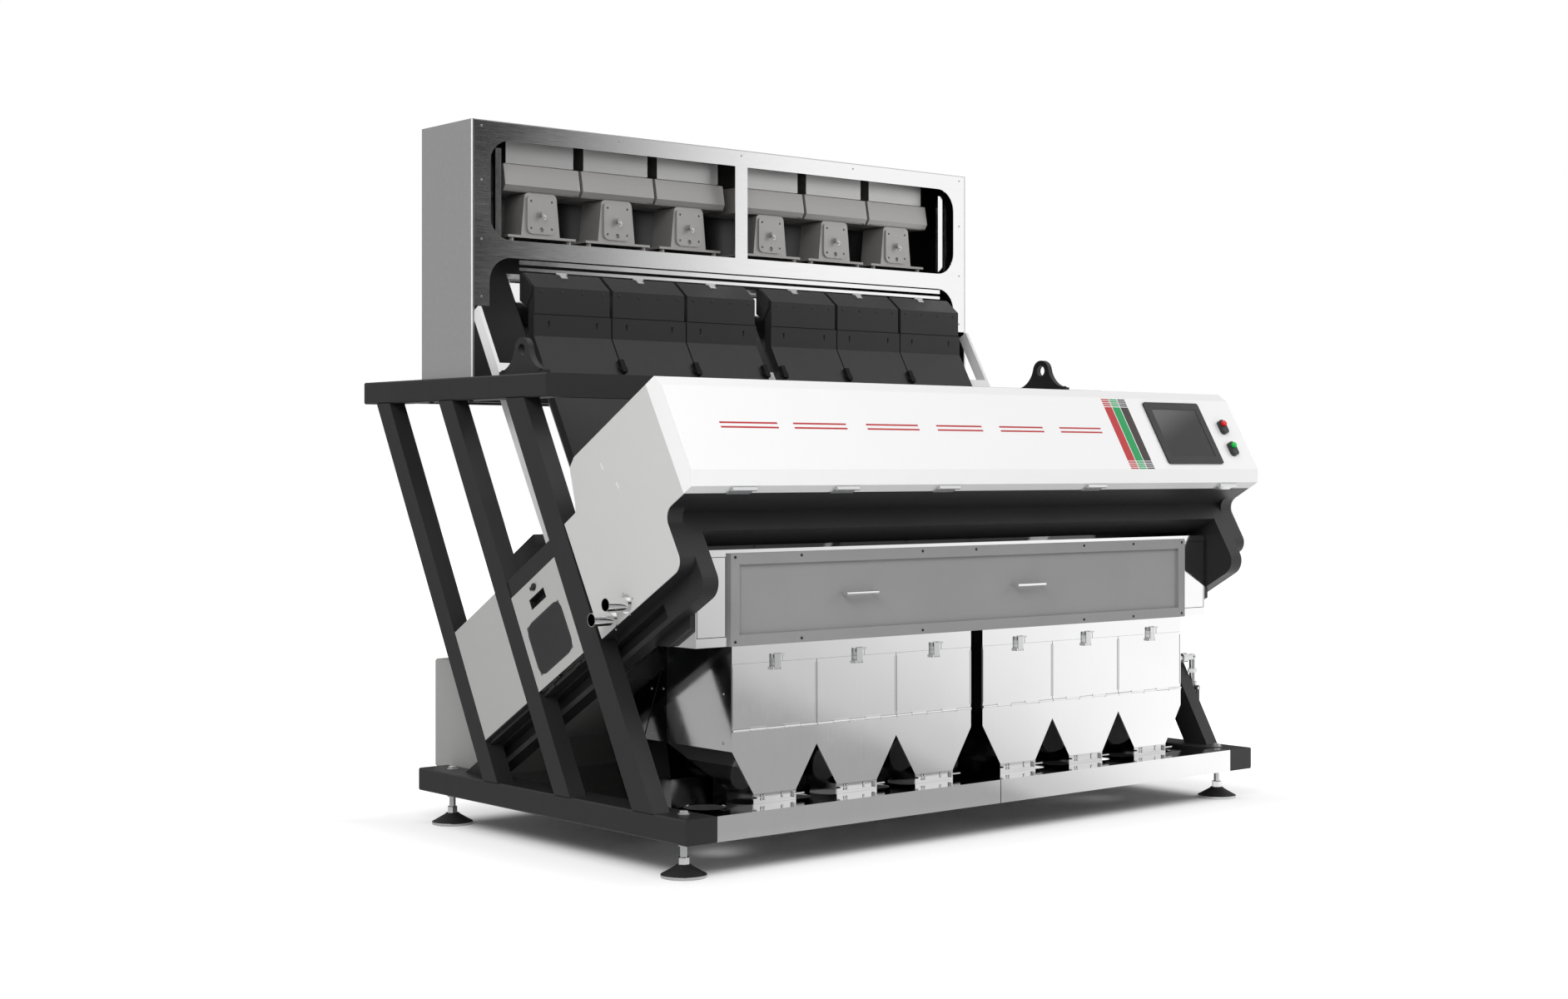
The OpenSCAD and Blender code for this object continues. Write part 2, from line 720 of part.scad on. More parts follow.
module service_door() {
  x0 = -half_w;
  x1 = -half_w + door_t;
  cup = 24;
  color("#c9c9c6") difference() {
    union() {
      along_x(x0, x1) polygon(bay_outline(hinge_a, door_a1, post_y, middle_front_y, panel_gap));
      deck_block(x1, x1 + cup, handle_a0 - cover_t, handle_a0 + handle_h + cover_t,
                 door_mid_b - handle_l / 2 - cover_t, door_mid_b + handle_l / 2 + cover_t);
      for (b = hinge_bs, s = group_signs) {
        b0 = b + s * (side_hinge_l + face_gap) - side_hinge_l / 2;
        rod_b(-hinge_x, hinge_a, b0, b0 + side_hinge_l, side_hinge_r);
        deck_block(x0 + cut, -hinge_x, hinge_a + face_gap, hinge_a + 0.7 * side_hinge_r, b0,
                   b0 + side_hinge_l);
      }
    }
    deck_block(x0 - cut, x1 + cup - cover_t, handle_a0, handle_a0 + handle_h,
               door_mid_b - handle_l / 2, door_mid_b + handle_l / 2);
    along_x(x0 - cut, x1 + cut) filter_outline(0.2);
    for (b = hinge_bs)
      rod_b(-hinge_x, hinge_a, b - 2 * side_hinge_l, b + 2 * side_hinge_l, side_pin_r + run_gap);
    rod_x(x0 - cut, x1 + cut, ty(lock_a, door_mid_b), tz(lock_a, door_mid_b), lock_r - 3 + run_gap);
  }
}
module door_filter() {
  color("#2b2b2c") along_x(-half_w, -half_w + door_t) filter_outline(0);
}
module door_lock() {
  y = ty(lock_a, door_mid_b);
  z = tz(lock_a, door_mid_b);
  color("#3a3a3b") difference() {
    union() {
      rod_x(-half_w - 3, -half_w - face_gap, y, z, lock_r);
      rod_x(-half_w - 2 * face_gap, -half_w + door_t + 14, y, z, lock_r - 3);
      translate([-half_w + door_t + 8, y, z]) rotate([deck_lean, 0, 0])
        translate([0, -6, -26]) cube([4, 12, 32]);
    }
    translate([-half_w - 3 - cut, y - 1, z - 5]) cube([2 + cut, 2, 10]);
  }
}

// Front optical box, open towards the lid
lid_hinge_in = 260;
hinge_lug_d = 40;
hinge_xs = [-half_w + lid_hinge_in, 0, half_w - lid_hinge_in];
lid_hinge_a = box_a1 + hinge_r + face_gap;
module front_box_shell() {
  path = tilted([[box_a1, seam_b + face_gap], [box_a1, top_b], [shoulder_a, shoulder_b],
                 [waist_a, waist_b], [step_a + 1, step_b],
                 [notch_a + front_t, front_b + front_t], [notch_a + front_t, seam_b + face_gap]]);
  y = ty(lid_hinge_a, seam_b);
  z = tz(lid_hinge_a, seam_b);
  color("#bdbdbb") {
    along_x(-post_x, post_x) polygon(sheet(path, -lid_t));
    for (x = hinge_xs) {
      rod_x(x - barrel_l / 2, x + barrel_l / 2, y, z, hinge_r);
      rod_x(x - 1.5 * barrel_l, x + 1.5 * barrel_l, y, z, hinge_pin_r);
      deck_block(x - barrel_l / 2, x + barrel_l / 2, box_a1 - lid_t / 2, box_a1 + 2 * lid_t,
                 seam_b + face_gap, seam_b + hinge_lug_d);
    }
  }
}

module front_frame() {
  path = tilted([[notch_a, seam_b + face_gap], [notch_a, front_b], [notch_a - front_h, front_b],
                 [notch_a - front_h, front_b + front_return]]);
  color("#2b2b2d") {
    along_x(-inner_w, inner_w) polygon(sheet(path, front_t));
    deck_block(-post_x, post_x, notch_a, notch_a + front_t, seam_b + face_gap, front_b + front_t);
  }
}

camera_w = 110;
camera_l = 120;
camera_h = 80;
camera_drop = 50.5;
camera_lap = 20;
camera_bar_h = 30;
camera_bar_d = 60;
camera_bar_in = 80;
lens_l = 40;
lens_r = 28;
module front_cameras() {
  bar_a = (notch_a + box_a1) / 2 - camera_drop;
  bar_b = front_b + camera_bar_in;
  bar_x = half_w - cover_t - frame_wall;
  camera_b = bar_b - camera_lap;
  lens_a = bar_a + camera_bar_h + camera_h / 2;
  color("#4a4c50") {
    deck_block(-bar_x, bar_x, bar_a, bar_a + camera_bar_h, bar_b, bar_b + camera_bar_d);
    for (i = [0 : 5]) {
      x = chute_x(i);
      deck_block(x - camera_w / 2, x + camera_w / 2, bar_a + camera_bar_h, bar_a + camera_bar_h + camera_h,
                 camera_b, camera_b + camera_l);
      translate([x, ty(lens_a, camera_b + camera_l), tz(lens_a, camera_b + camera_l)])
        rotate([-90 - deck_lean, 0, 0]) cylinder(r = lens_r, h = lens_l);
    }
  }
}

// Lid and what is on it
lid_pts = [
  [notch_a, seam_b], [notch_a, lid_b + lid_lip_d], [crease_a, lid_b],
  [box_a1 - lid_bevel_h, lid_b], [box_a1, lid_b + lid_bevel_d], [box_a1, seam_b]
];
module on_lid(x, a)
  translate([x, ty(crease_a + a, lid_b), tz(crease_a + a, lid_b)])
    rotate([90 - deck_lean, 0, 0]) children();
function rounded_rect(w, h, r) = rounded([
  [-w / 2, -h / 2, r], [w / 2, -h / 2, r], [w / 2, h / 2, r], [-w / 2, h / 2, r]
], 6);

module front_lid() {
  y = ty(lid_hinge_a, seam_b);
  z = tz(lid_hinge_a, seam_b);
  color("#f1f1f0") difference() {
    union() {
      along_x(-half_w, half_w) polygon(sheet(tilted(lid_pts), -lid_t));
      pair() along_x(half_w - lid_t, half_w) polygon(tilted(lid_pts));
      for (x = hinge_xs, s = group_signs) {
        x0 = x + s * barrel_l - barrel_l / 2 + s * face_gap;
        rod_x(x0, x0 + barrel_l, y, z, hinge_r);
        deck_block(x0, x0 + barrel_l, box_a1 - lid_t, box_a1 + hinge_r, seam_b - lid_t, seam_b);
      }
    }
    for (x = hinge_xs) rod_x(x - 2 * barrel_l, x + 2 * barrel_l, y, z, hinge_pin_r + run_gap);
    for (a = [stop_a, start_a]) on_lid(button_x, a)
      translate([0, 0, -lid_t - cut]) cylinder(r = cap_r + face_gap, h = lid_t + 2 * cut);
  }
}

clip_xs = [-1016, -640, -240, 404, 1048];
clip_t = 4;
module lid_clips() {
  color("#c4c6c8") for (x = clip_xs) along_x(x - clip_w / 2, x + clip_w / 2)
    polygon(tilted([[notch_a, lid_b + lid_lip_d + 4], [notch_a, lid_b + lid_lip_d + 40],
                    [notch_a - clip_t, lid_b + lid_lip_d + 40], [notch_a - clip_t, lid_b + lid_lip_d + 16],
                    [notch_a - 3 * clip_t, lid_b + lid_lip_d + 10],
                    [notch_a - 3 * clip_t, lid_b + lid_lip_d + 4]]));
}

bezel_r = 9;
module screen_bezel() {
  color("#1a1a1b") on_lid(screen_x, screen_a) difference() {
    translate([0, 0, seat_gap]) linear_extrude(bezel_t) polygon(rounded_rect(bezel_w, bezel_h, bezel_r));
    translate([-glass_w / 2, -glass_h / 2, glass_sink]) cube([glass_w, glass_h, bezel_t]);
  }
}
module screen_glass() {
  color("#26282b") on_lid(screen_x, screen_a)
    translate([-glass_w / 2 + face_gap, -glass_h / 2 + face_gap, glass_sink])
      cube([glass_w - 2 * face_gap, glass_h - 2 * face_gap, bezel_t - glass_sink - 1]);
}

guard_r = 12;
module button_guards() {
  color("#19191a") for (a = [stop_a, start_a]) on_lid(button_x, a) difference() {
    translate([0, -guard_drop, seat_gap]) linear_extrude(guard_h)
      polygon(rounded_rect(guard_w, guard_l, guard_r));
    translate([0, 0, -cut]) cylinder(r = cap_r + face_gap, h = guard_h + 2 * cut);
  }
}
module button_cap(a) on_lid(button_x, a)
  translate([0, 0, -lid_t]) rotate_extrude()
    polygon([[0, 0], [cap_r, 0], [cap_r, lid_t + guard_h + cap_h - 2],
             [cap_r - 2, lid_t + guard_h + cap_h], [0, lid_t + guard_h + cap_h]]);
module stop_button() { color("#c8202a") button_cap(stop_a); }
module start_button() { color("#1f9a4a") button_cap(start_a); }

// Sorting box and its access cover
sort_x = inner_w - sort_gap;
sort_bottom = deck_z + sort_z0;
sort_top = sort_bottom + sort_h;
access_z = sort_bottom + access_h / 2;
module sorting_box() {
  t = sheet_t;
  hole_w = access_w - 2 * access_border;
  hole_h = access_h - 2 * access_border;
  color("#c6c7c8") difference() {
    block(-sort_x, sort_x, sort_y, sort_y + sort_d, sort_bottom, sort_top);
    block(-sort_x + t, sort_x - t, sort_y + t, sort_y + sort_d + cut, sort_bottom - cut, sort_top - t);
    block(-hole_w / 2, hole_w / 2, sort_y - cut, sort_y + 2 * t, access_z - hole_h / 2,
          access_z + hole_h / 2);
    pipe_holes(pipe_r + stud_gap);
  }
}

module access_cover() {
  w = access_w / 2;
  h = access_h / 2;
  recess = access_t - 3;
  color("#a9aaab") difference() {
    block(-w, w, sort_y - access_t, sort_y, access_z - h, access_z + h);
    block(-w + access_border, w - access_border, sort_y - access_t - cut, sort_y - access_t + recess,
          access_z - h + access_border, access_z + h - access_border);
  }
}

module cover_handles() {
  y1 = sort_y - 3;
  y0 = y1 - handle_reach;
  color("#d2d3d5") for (s = group_signs) translate([handle_shift + s * handle_pitch / 2, 0, access_z + 4]) {
    rod_x(-handle_w / 2, handle_w / 2, y0 + handle_r, 0, handle_r);
    for (e = group_signs) translate([e * (handle_w / 2 - handle_r), y0 + handle_r, 0])
      rotate([-90, 0, 0]) cylinder(r = handle_r, h = handle_reach - handle_r);
  }
}

// Outlet funnels
funnel_w = funnel_pitch - funnel_gap;
taper = tray_z1 + taper_z;
spout_z = tray_z1 + spout_h;
hinge_z = tray_z1 + door_z;
door_z1 = hinge_z + door_h;
function group_x(g) = funnel_x(3 * g + 1);
function funnel_front(t) = concat(
  [[-1.5 * funnel_pitch + t, sort_bottom + 2 * t], [1.5 * funnel_pitch - t, sort_bottom + 2 * t],
   [1.5 * funnel_pitch - t, taper]],
  [for (k = [1 : -1 : -1]) let (x = k * funnel_pitch, w = spout_w / 2 - t)
    each [[x + w, spout_z], [x + w, tray_z1 - t], [x - w, tray_z1 - t], [x - w, spout_z],
          k > -1 ? [x - funnel_pitch / 2, taper + 2 * t] : [x - funnel_pitch / 2 + t, taper]]]
);
function funnel_side(t) = [
  [funnel_y + t, sort_bottom + 2 * t], [funnel_y + funnel_d - t, sort_bottom + 2 * t],
  [funnel_y + funnel_d - t, taper], [funnel_y + spout_d - t, spout_z],
  [funnel_y + spout_d - t, tray_z1 - t], [funnel_y + t, tray_z1 - t]
];
rear_y1 = rear_y0 + rear_funnel_d;
rear_a1 = arm_a1 - 4;
function slope_z(y) = deck_z + (rear_a1 - y * sin(deck_lean)) / cos(deck_lean);
function rear_side(t) = [
  [rear_y0 + t, slope_z(rear_y0) + 2 * t], [rear_y1 - t, slope_z(rear_y1) + 2 * t],
  [rear_y1 - t, taper], [rear_y0 + rear_spout_set + spout_d - t, spout_z],
  [rear_y0 + rear_spout_set + spout_d - t, tray_z1 - t], [rear_y0 + rear_spout_set + t, tray_z1 - t],
  [rear_y0 + rear_spout_set + t, spout_z], [rear_y0 + t, taper]
];
module funnel_body(side, t) intersection() {
  along_y(0, base_d) polygon(funnel_front(t));
  along_x(-2 * funnel_pitch, 2 * funnel_pitch) polygon(side);
}
module funnel_groups(outer, inner)
  for (g = [0, 1]) translate([group_x(g), 0, 0]) difference() {
    funnel_body(outer, 0);
    funnel_body(inner, sheet_t);
  }
leaf_n = 5;
leaf_l = funnel_w / leaf_n;
hinge_y = funnel_y - 1.5;
module hinge_leaves(parity, z0, z1, y1) {
  for (k = [0 : leaf_n - 1]) if (k % 2 == parity)
    translate([-funnel_w / 2 + k * leaf_l + face_gap, 0, 0]) {
      rod_x(0, leaf_l - 2 * face_gap, hinge_y, hinge_z, door_hinge_r);
      block(0, leaf_l - 2 * face_gap, hinge_y, y1, z0, z1);
    }
}
door_face = funnel_y + sheet_t;
module front_funnels() {
  color("#d3d4d6") {
    difference() {
      funnel_groups(funnel_side(0), funnel_side(sheet_t));
      block(-half_w, half_w, funnel_y - cut, door_face + face_gap, hinge_z - door_hinge_r - face_gap,
            door_z1);
    }
    for (i = [0 : 5]) translate([funnel_x(i), 0, 0]) {
      hinge_leaves(0, hinge_z - door_hinge_r - 4, hinge_z - 1, door_face);
      rod_x(-funnel_w / 2 + 2 * face_gap, funnel_w / 2 - 2 * face_gap, hinge_y, hinge_z, door_pin_r);
      block(-latch_w / 2, latch_w / 2, funnel_y - 6, funnel_y, door_z1 + 10, door_z1 + 22);
    }
  }
}
module rear_funnels() {
  color("#d3d4d6") funnel_groups(rear_side(0), rear_side(sheet_t));
}

latch_y = funnel_y - 8;
latch_z = door_z1 - 18;
module funnel_door(i) {
  color("#d9dadc") translate([funnel_x(i), 0, 0]) difference() {
    union() {
      block(-funnel_w / 2 + face_gap, funnel_w / 2 - face_gap, funnel_y, door_face,
            hinge_z + door_hinge_r + face_gap, door_z1 - face_gap);
      hinge_leaves(1, hinge_z + 1, hinge_z + door_hinge_r + 4, door_face);
      for (s = group_signs) translate([s * (latch_w / 2 + 3), 0, 0])
        block(-2, 2, latch_y - latch_r, funnel_y, latch_z - latch_r, latch_z + latch_r);
      rod_x(-latch_w / 2 - 3, latch_w / 2 + 3, latch_y, latch_z, latch_r / 2);
    }
    rod_x(-funnel_w / 2 - cut, funnel_w / 2 + cut, hinge_y, hinge_z, door_pin_r + run_gap);
  }
}
module funnel_latch(i) {
  color("#b9bbbd") translate([funnel_x(i), 0, 0]) difference() {
    union() {
      rod_x(-latch_w / 2, latch_w / 2, latch_y, latch_z, latch_r);
      block(-latch_w / 2, latch_w / 2, latch_y - latch_r, latch_y - latch_r + latch_t, latch_z,
            latch_z + latch_l);
    }
    rod_x(-latch_w, latch_w, latch_y, latch_z, latch_r / 2 + run_gap);
  }
}

// Rear housing, rear cameras, ejectors and control box
module rear_housing() {
  color("#c9c9c6")
    deck_block(-post_x + 2 * face_gap, post_x - 2 * face_gap, arm_a1, panel_a1, housing_b0, housing_b1);
}
module rear_camera_box() {
  a1 = panel_a1 + camera_box_h;
  b1 = housing_b0 + camera_box_d;
  color("#2b2b2d") along_x(-inner_w, inner_w)
    polygon(tilted([[panel_a1, housing_b0], [a1, housing_b0], [a1, b1 - 50], [a1 - 50, b1],
                    [panel_a1, b1]]));
}
ejector_w = 960;
ejector_lift = 90;
ejector_h = 50;
ejector_d = 40;
nozzle_lift = 110;
nozzle_h = 8;
nozzle_d = 15;
module ejector_bar() {
  color("#8d9093") {
    bar_a = arm_a1 + ejector_lift;
    nozzle_a = arm_a1 + nozzle_lift;
    nozzle_b = housing_b0 - ejector_d;
    deck_block(-ejector_w, ejector_w, bar_a, bar_a + ejector_h, nozzle_b, housing_b0);
    deck_block(-ejector_w, ejector_w, nozzle_a, nozzle_a + nozzle_h, nozzle_b - nozzle_d, nozzle_b);
  }
}
module control_box() {
  color("#b9b9b7") along_y(control_y0, control_y1)
    polygon(bevelled(-inner_w + 10, inner_w - 10, foot_h + cross_h, foot_h + cross_h + control_h, 6));
}

// Suction pipes at the left end and the air line at the right end
module suction_pipes() {
  x0 = -half_w - pipe_out;
  x1 = -sort_x + 40;
  color("#d8d9db") for (p = pipes_yz) difference() {
    union() {
      rod_x(x0, x1, p[0], deck_z + p[1], pipe_r);
      rod_x(-half_w - 3, -half_w, p[0], deck_z + p[1], flange_r);
    }
    rod_x(x0 - cut, x1 + cut, p[0], deck_z + p[1], pipe_r - pipe_t);
  }
}
air_x = half_w + air_out;
air_pipe_z = deck_z + air_z;
air_drop = 105;
valve_z = air_pipe_z - air_drop;
valve_r = 16;
stem_r = 5;
lever_t = 4;
lever_y = air_y - valve_r - 6 - lever_t;
lever_l = 78;
module air_line() {
  color("#b4b6b8") {
    rod_x(funnel_x(5) + funnel_pitch / 2, air_x, air_y, air_pipe_z, air_r);
    rod_x(half_w - 40, half_w - 14, air_y, air_pipe_z, air_r + 5);
    translate([air_x, air_y, valve_z]) cylinder(r = air_r, h = air_drop);
    translate([air_x, air_y, air_pipe_z]) sphere(r = air_r + 2);
    translate([air_x, air_y, valve_z + 52]) cylinder(r = valve_r, h = 14, $fn = 6);
    translate([air_x, air_y, valve_z - 22]) cylinder(r = valve_r, h = 44);
    translate([air_x, air_y, valve_z - 36]) cylinder(r = right_out - air_out, h = 14, $fn = 6);
    translate([air_x, lever_y - 2, valve_z]) rotate([-90, 0, 0])
      cylinder(r = stem_r, h = air_y - lever_y);
  }
}
module valve_lever() {
  color("#1c1c1d") difference() {
    union() {
      translate([air_x, lever_y, valve_z]) rotate([-90, 0, 0]) cylinder(r = 2 * stem_r, h = lever_t);
      block(air_x - 7, air_x + 7, lever_y, lever_y + lever_t, valve_z - lever_l, valve_z);
    }
    translate([air_x, lever_y - cut, valve_z]) rotate([-90, 0, 0])
      cylinder(r = stem_r + run_gap, h = lever_t + 2 * cut);
  }
}

// Feeder cabinet
cabinet_x = half_w - cabinet_inset;
cabinet_top = bar_top + cabinet_h;
shelf = bar_top + shelf_z;
function chute_x(i) =
  i < 3 ? -chute_split / 2 - (2.5 - i) * chute_pitch : chute_split / 2 + (i - 2.5) * chute_pitch;
shelf_t = 4;
shelf_set = 4;
tray_y0 = cabinet_y0 + tray_set;
hopper_y = tray_y0 + 16;
function cabinet_plan(t, y1) = rounded([
  [-cabinet_x + t, cabinet_y0 + t, cabinet_bend - t], [cabinet_x - t, cabinet_y0 + t, cabinet_bend - t],
  [cabinet_x - t, y1, 0], [-cabinet_x + t, y1, 0]
], 6);
module cabinet_shell() {
  t = cabinet_t;
  x = cabinet_x - cabinet_bend;
  color("#b5b7b9") {
    difference() {
      translate([0, 0, bar_top]) linear_extrude(cabinet_h) polygon(cabinet_plan(0, cabinet_y1));
      translate([0, 0, bar_top - cut]) linear_extrude(cabinet_h + cut - t)
        polygon(cabinet_plan(t, cabinet_y1 - t));
      block(-x, x, cabinet_y0 - cut, cabinet_y0 + 2 * t, bar_top - cut, cabinet_top - t);
      for (i = [0 : 5]) translate([chute_x(i) - hopper_w / 2, hopper_y, cabinet_top - 2 * t])
        cube([hopper_w, hopper_d, 4 * t]);
    }
    block(-cabinet_x + t / 2, cabinet_x - t / 2, tray_y0 + shelf_set, cabinet_y1 - t / 2, shelf - shelf_t,
          shelf);
  }
}
module window_outline(z0, z1, r0) {
  w = cabinet_x - window_margin;
  polygon(rounded([[-w, z0, r0], [w, z0, r0], [w, z1, window_r], [-w, z1, window_r]]));
}
// Joints between the strips of the front sheet and the pieces that round its window corners
module front_joints() {
  w = cabinet_x - window_margin;
  foot = bar_top + plate_z - cut;
  low = bar_top + low_window_z;
  z0 = bar_top + window_z0;
  z1 = bar_top + window_z1;
  for (z = [low, z0 - seat_gap, z1]) translate([-cabinet_x, z]) square([2 * cabinet_x, seat_gap]);
  for (side = [0, 1]) mirror([side, 0]) {
    translate([w, foot]) square([seat_gap, low - foot]);
    translate([w, z0 - seat_gap]) square([seat_gap, z1 - z0 + 2 * seat_gap]);
    for (corner = [[low, 225], [z0, 135], [z1, 225]])
      translate([w, corner[0]]) rotate(corner[1]) translate([-seat_gap, -seat_gap / 2])
        square([window_r / 2, seat_gap]);
  }
}
module cabinet_front() {
  front_x = cabinet_x - cabinet_bend - seat_gap;
  color("#c3c5c7") {
    along_y(cabinet_y0, cabinet_y0 + cabinet_t) difference() {
      translate([-front_x, bar_top + plate_z])
        square([2 * front_x, cabinet_h - plate_z - cabinet_t - seat_gap]);
      window_outline(bar_top + plate_z - 40, bar_top + low_window_z, 0);
      difference() {
        window_outline(bar_top + window_z0, bar_top + window_z1, window_r);
        translate([-divider_w / 2, bar_top]) square([divider_w, cabinet_h]);
      }
      front_joints();
    }
  }
}

module feed_hoppers() {
  t = sheet_t;
  z0 = shelf + tray_z + trough_h + hopper_lift;
  w = hopper_w / 2;
  color("#cdced0") for (i = [0 : 5]) translate([chute_x(i), hopper_y, 0]) difference() {
    block(-w + 0.2, w - 0.2, 0.2, hopper_d - 0.2, z0, cabinet_top);
    block(-w + t, w - t, t, hopper_d - t, z0 - cut, cabinet_top + cut);
  }
}

function trough_outer() = let (z = shelf + tray_z, y = tray_y0, d = trough_d, h = trough_h)
  [[y + 8, z], [y - 4, z + 18], [y, z + h * 0.5], [y + 8, z + h], [y + d, z + h], [y + d, z + 12],
   [y + d - 12, z]];
function trough_inner() = let (z = shelf + tray_z, y = tray_y0, d = trough_d, h = trough_h, t = 5)
  [[y + 8 + t, z + t], [y + t, z + 18 + t], [y + t, z + h * 0.5], [y + 8 + t, z + h + t],
   [y + d - t, z + h + t], [y + d - t, z + 12 + t], [y + d - 12 - t, z + t]];
module feeder_trays() {
  w = tray_w / 2;
  color("#a2a09f") for (i = [0 : 5]) translate([chute_x(i), 0, 0]) difference() {
    along_x(-w, w) polygon(trough_outer());
    along_x(-w + 5, w - 5) polygon(trough_inner());
    block(-w + 5, w - 5, tray_y0 + 6, tray_y0 + 15, shelf + tray_z - cut, shelf + tray_z + 10);
  }
}

drive_d = 110;
drive_set = 12;
drive_plate_w = 108;
module feeder_drives() {
  w = drive_w / 2;
  z0 = shelf + drive_leg;
  z1 = shelf + tray_z - face_gap;
  y0 = tray_y0 + drive_set;
  color("#a8a6a4") for (i = [0 : 5]) translate([chute_x(i), 0, 0]) {
    block(-tray_w / 2 + 14, tray_w / 2 - 14, y0 - 10, y0 + drive_d + 20, z0, z0 + 8);
    for (sx = group_signs, y = [y0 + 4, y0 + drive_d])
      translate([sx * (tray_w / 2 - 34), y, shelf]) cylinder(r = 9, h = drive_leg);
    along_y(y0, y0 + drive_d) polygon(rounded([[-w, z0 + 8, 0], [w, z0 + 8, 0], [w - 14, z1, 16],
                                               [-w + 14, z1, 16]], 5));
    along_y(y0 - 6, y0) difference() {
      polygon(rounded([[-drive_plate_w / 2, z0 + 16, 20], [drive_plate_w / 2, z0 + 16, 20],
                       [drive_plate_w / 2, z1 - 12, 8], [-drive_plate_w / 2, z1 - 12, 8]], 5));
      for (sx = group_signs, z = [z0 + 34, z1 - 26])
        translate([sx * (drive_plate_w / 2 - 14), z]) circle(r = 4);
      translate([0, z0 + 30]) circle(r = 8);
    }
    translate([0, y0 - 6, (z0 + z1) / 2 + 6]) rotate([90, 0, 0]) cylinder(r = 9, h = 14);
  }
}

// Chutes, their covers and their rails
cover_y = cabinet_y0 - chute_front;
cover_b = slope_b(cover_y, bar_top + chute_z0);
cover_a = slope_a(cover_y, bar_top + chute_z0);
chute_b = cover_b + chute_d;
chute_a1 = slope_a(cabinet_y0 + 30, bar_top + low_window_z - 40);
cover_w = chute_pitch - chute_gap;
upper_w = cover_w - 8;
function cover_path(extra) = concat(
  tilted([[chute_a0 - extra, cover_b]]),
  [[cover_y, bar_top + chute_z0], [cover_y, bar_top + chute_z1],
   [cover_y + roof_d, bar_top + chute_z1 + roof_h] + extra * unit([roof_d, roof_h])]
);
// End brackets beside the roofs of each group of three
bracket_t = 6;
bracket_d = 76;
bracket_h = 40;
module end_bracket(x0) along_x(x0, x0 + bracket_t) let (z = bar_top + chute_z1) polygon([
  [cover_y + 10, z - bracket_h / 2], [cover_y + 10, z + 4], [cover_y + roof_d, z + roof_h - 2],
  [cover_y + bracket_d, z + roof_h - 2], [cover_y + bracket_d, z - bracket_h],
  [cover_y + bracket_d / 2, z - 1.5 * bracket_h]
]);
module chute_covers() {
  w = upper_w / 2;
  lower = concat(tilted([[chute_a0 + 2, cover_b]]),
                 [[cover_y, bar_top + chute_z0], [cover_y, bar_top + lap_z]]);
  color("#2b2b2d") for (i = [0 : 5]) translate([chute_x(i), 0, 0]) {
    difference() {
      along_x(-w, w) polygon(sheet(cover_path(0), seat_gap - chute_d));
      along_x(-w + chute_t, w - chute_t)
        polygon(sheet(shifted(cover_path(2 * chute_t), -chute_t), -chute_d));
    }
    along_x(-cover_w / 2, cover_w / 2) polygon(sheet(shifted(lower, -cut), chute_t + cut));
    if (i % 3 == 0) end_bracket(-w - bracket_t + cut);
    if (i % 3 == 2) end_bracket(w - cut);
  }
}
module chutes() {
  w = cover_w / 2 - 2;
  color("#c9cacc") for (i = [0 : 5]) translate([chute_x(i), 0, 0])
    deck_block(-w, w, chute_a0 - 30, chute_a1, chute_b, chute_b + chute_t);
}
module chute_rails() {
  x1 = cabinet_x - cabinet_bend - face_gap;
  x0 = x1 - chute_rail_t;
  b0 = chute_b + chute_t + seat_gap;
  rail_a1 = slope_a(cabinet_y0 - 12, bar_top + plate_z - 8);
  color("#cfd0d2") {
    pair() deck_block(x0, x1, chute_a0, rail_a1, b0, b0 + chute_rail_d);
    for (a = [chute_a0 + 30, cover_a - 120])
      deck_block(-x0, x0, a, a + 40, b0, b0 + 20);
  }
}

placed() base_side_beams();
placed() base_cross_beams();
placed() base_front_rails();
placed() outlet_tray();
placed() foot_pads();
placed() foot_screws();
placed() frame_posts();
placed() top_side_bars();
placed() top_cross_beams();
placed() lifting_eyes();
placed() support_arms();
placed() brace_bars();
placed() side_frames();
placed() side_covers();
placed() side_panels();
placed() front_box_shell();
placed() front_frame();
placed() front_cameras();
placed() front_lid();
placed() lid_clips();
placed() screen_bezel();
placed() screen_glass();
placed() button_guards();
placed() stop_button();
placed() start_button();
placed() sorting_box();
placed() access_cover();
placed() cover_handles();
placed() front_funnels();
placed() rear_funnels();
placed() funnel_door(0);  // funnel_door_1
placed() funnel_door(1);  // funnel_door_2
placed() funnel_door(2);  // funnel_door_3
placed() funnel_door(3);  // funnel_door_4
placed() funnel_door(4);  // funnel_door_5
placed() funnel_door(5);  // funnel_door_6
placed() funnel_latch(0);  // funnel_latch_1
placed() funnel_latch(1);  // funnel_latch_2
placed() funnel_latch(2);  // funnel_latch_3
placed() funnel_latch(3);  // funnel_latch_4
placed() funnel_latch(4);  // funnel_latch_5
placed() funnel_latch(5);  // funnel_latch_6
placed() rear_housing();
placed() rear_camera_box();
placed() ejector_bar();
placed() control_box();
placed() service_door();
placed() door_filter();
placed() door_lock();
placed() suction_pipes();
placed() air_line();
placed() valve_lever();
placed() cabinet_shell();
placed() cabinet_front();
placed() feed_hoppers();
placed() feeder_trays();
placed() feeder_drives();
placed() chutes();
placed() chute_covers();
placed() chute_rails();
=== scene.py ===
"""Looks for a six-chute optical colour sorter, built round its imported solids.

Laid out as an add-on: property groups hold the colours and sizes, one operator makes each piece or
group of like pieces, and main() runs them in order.
"""

import math

import bmesh
import bpy
from bpy.props import FloatProperty, FloatVectorProperty, PointerProperty
from mathutils import Matrix, Vector


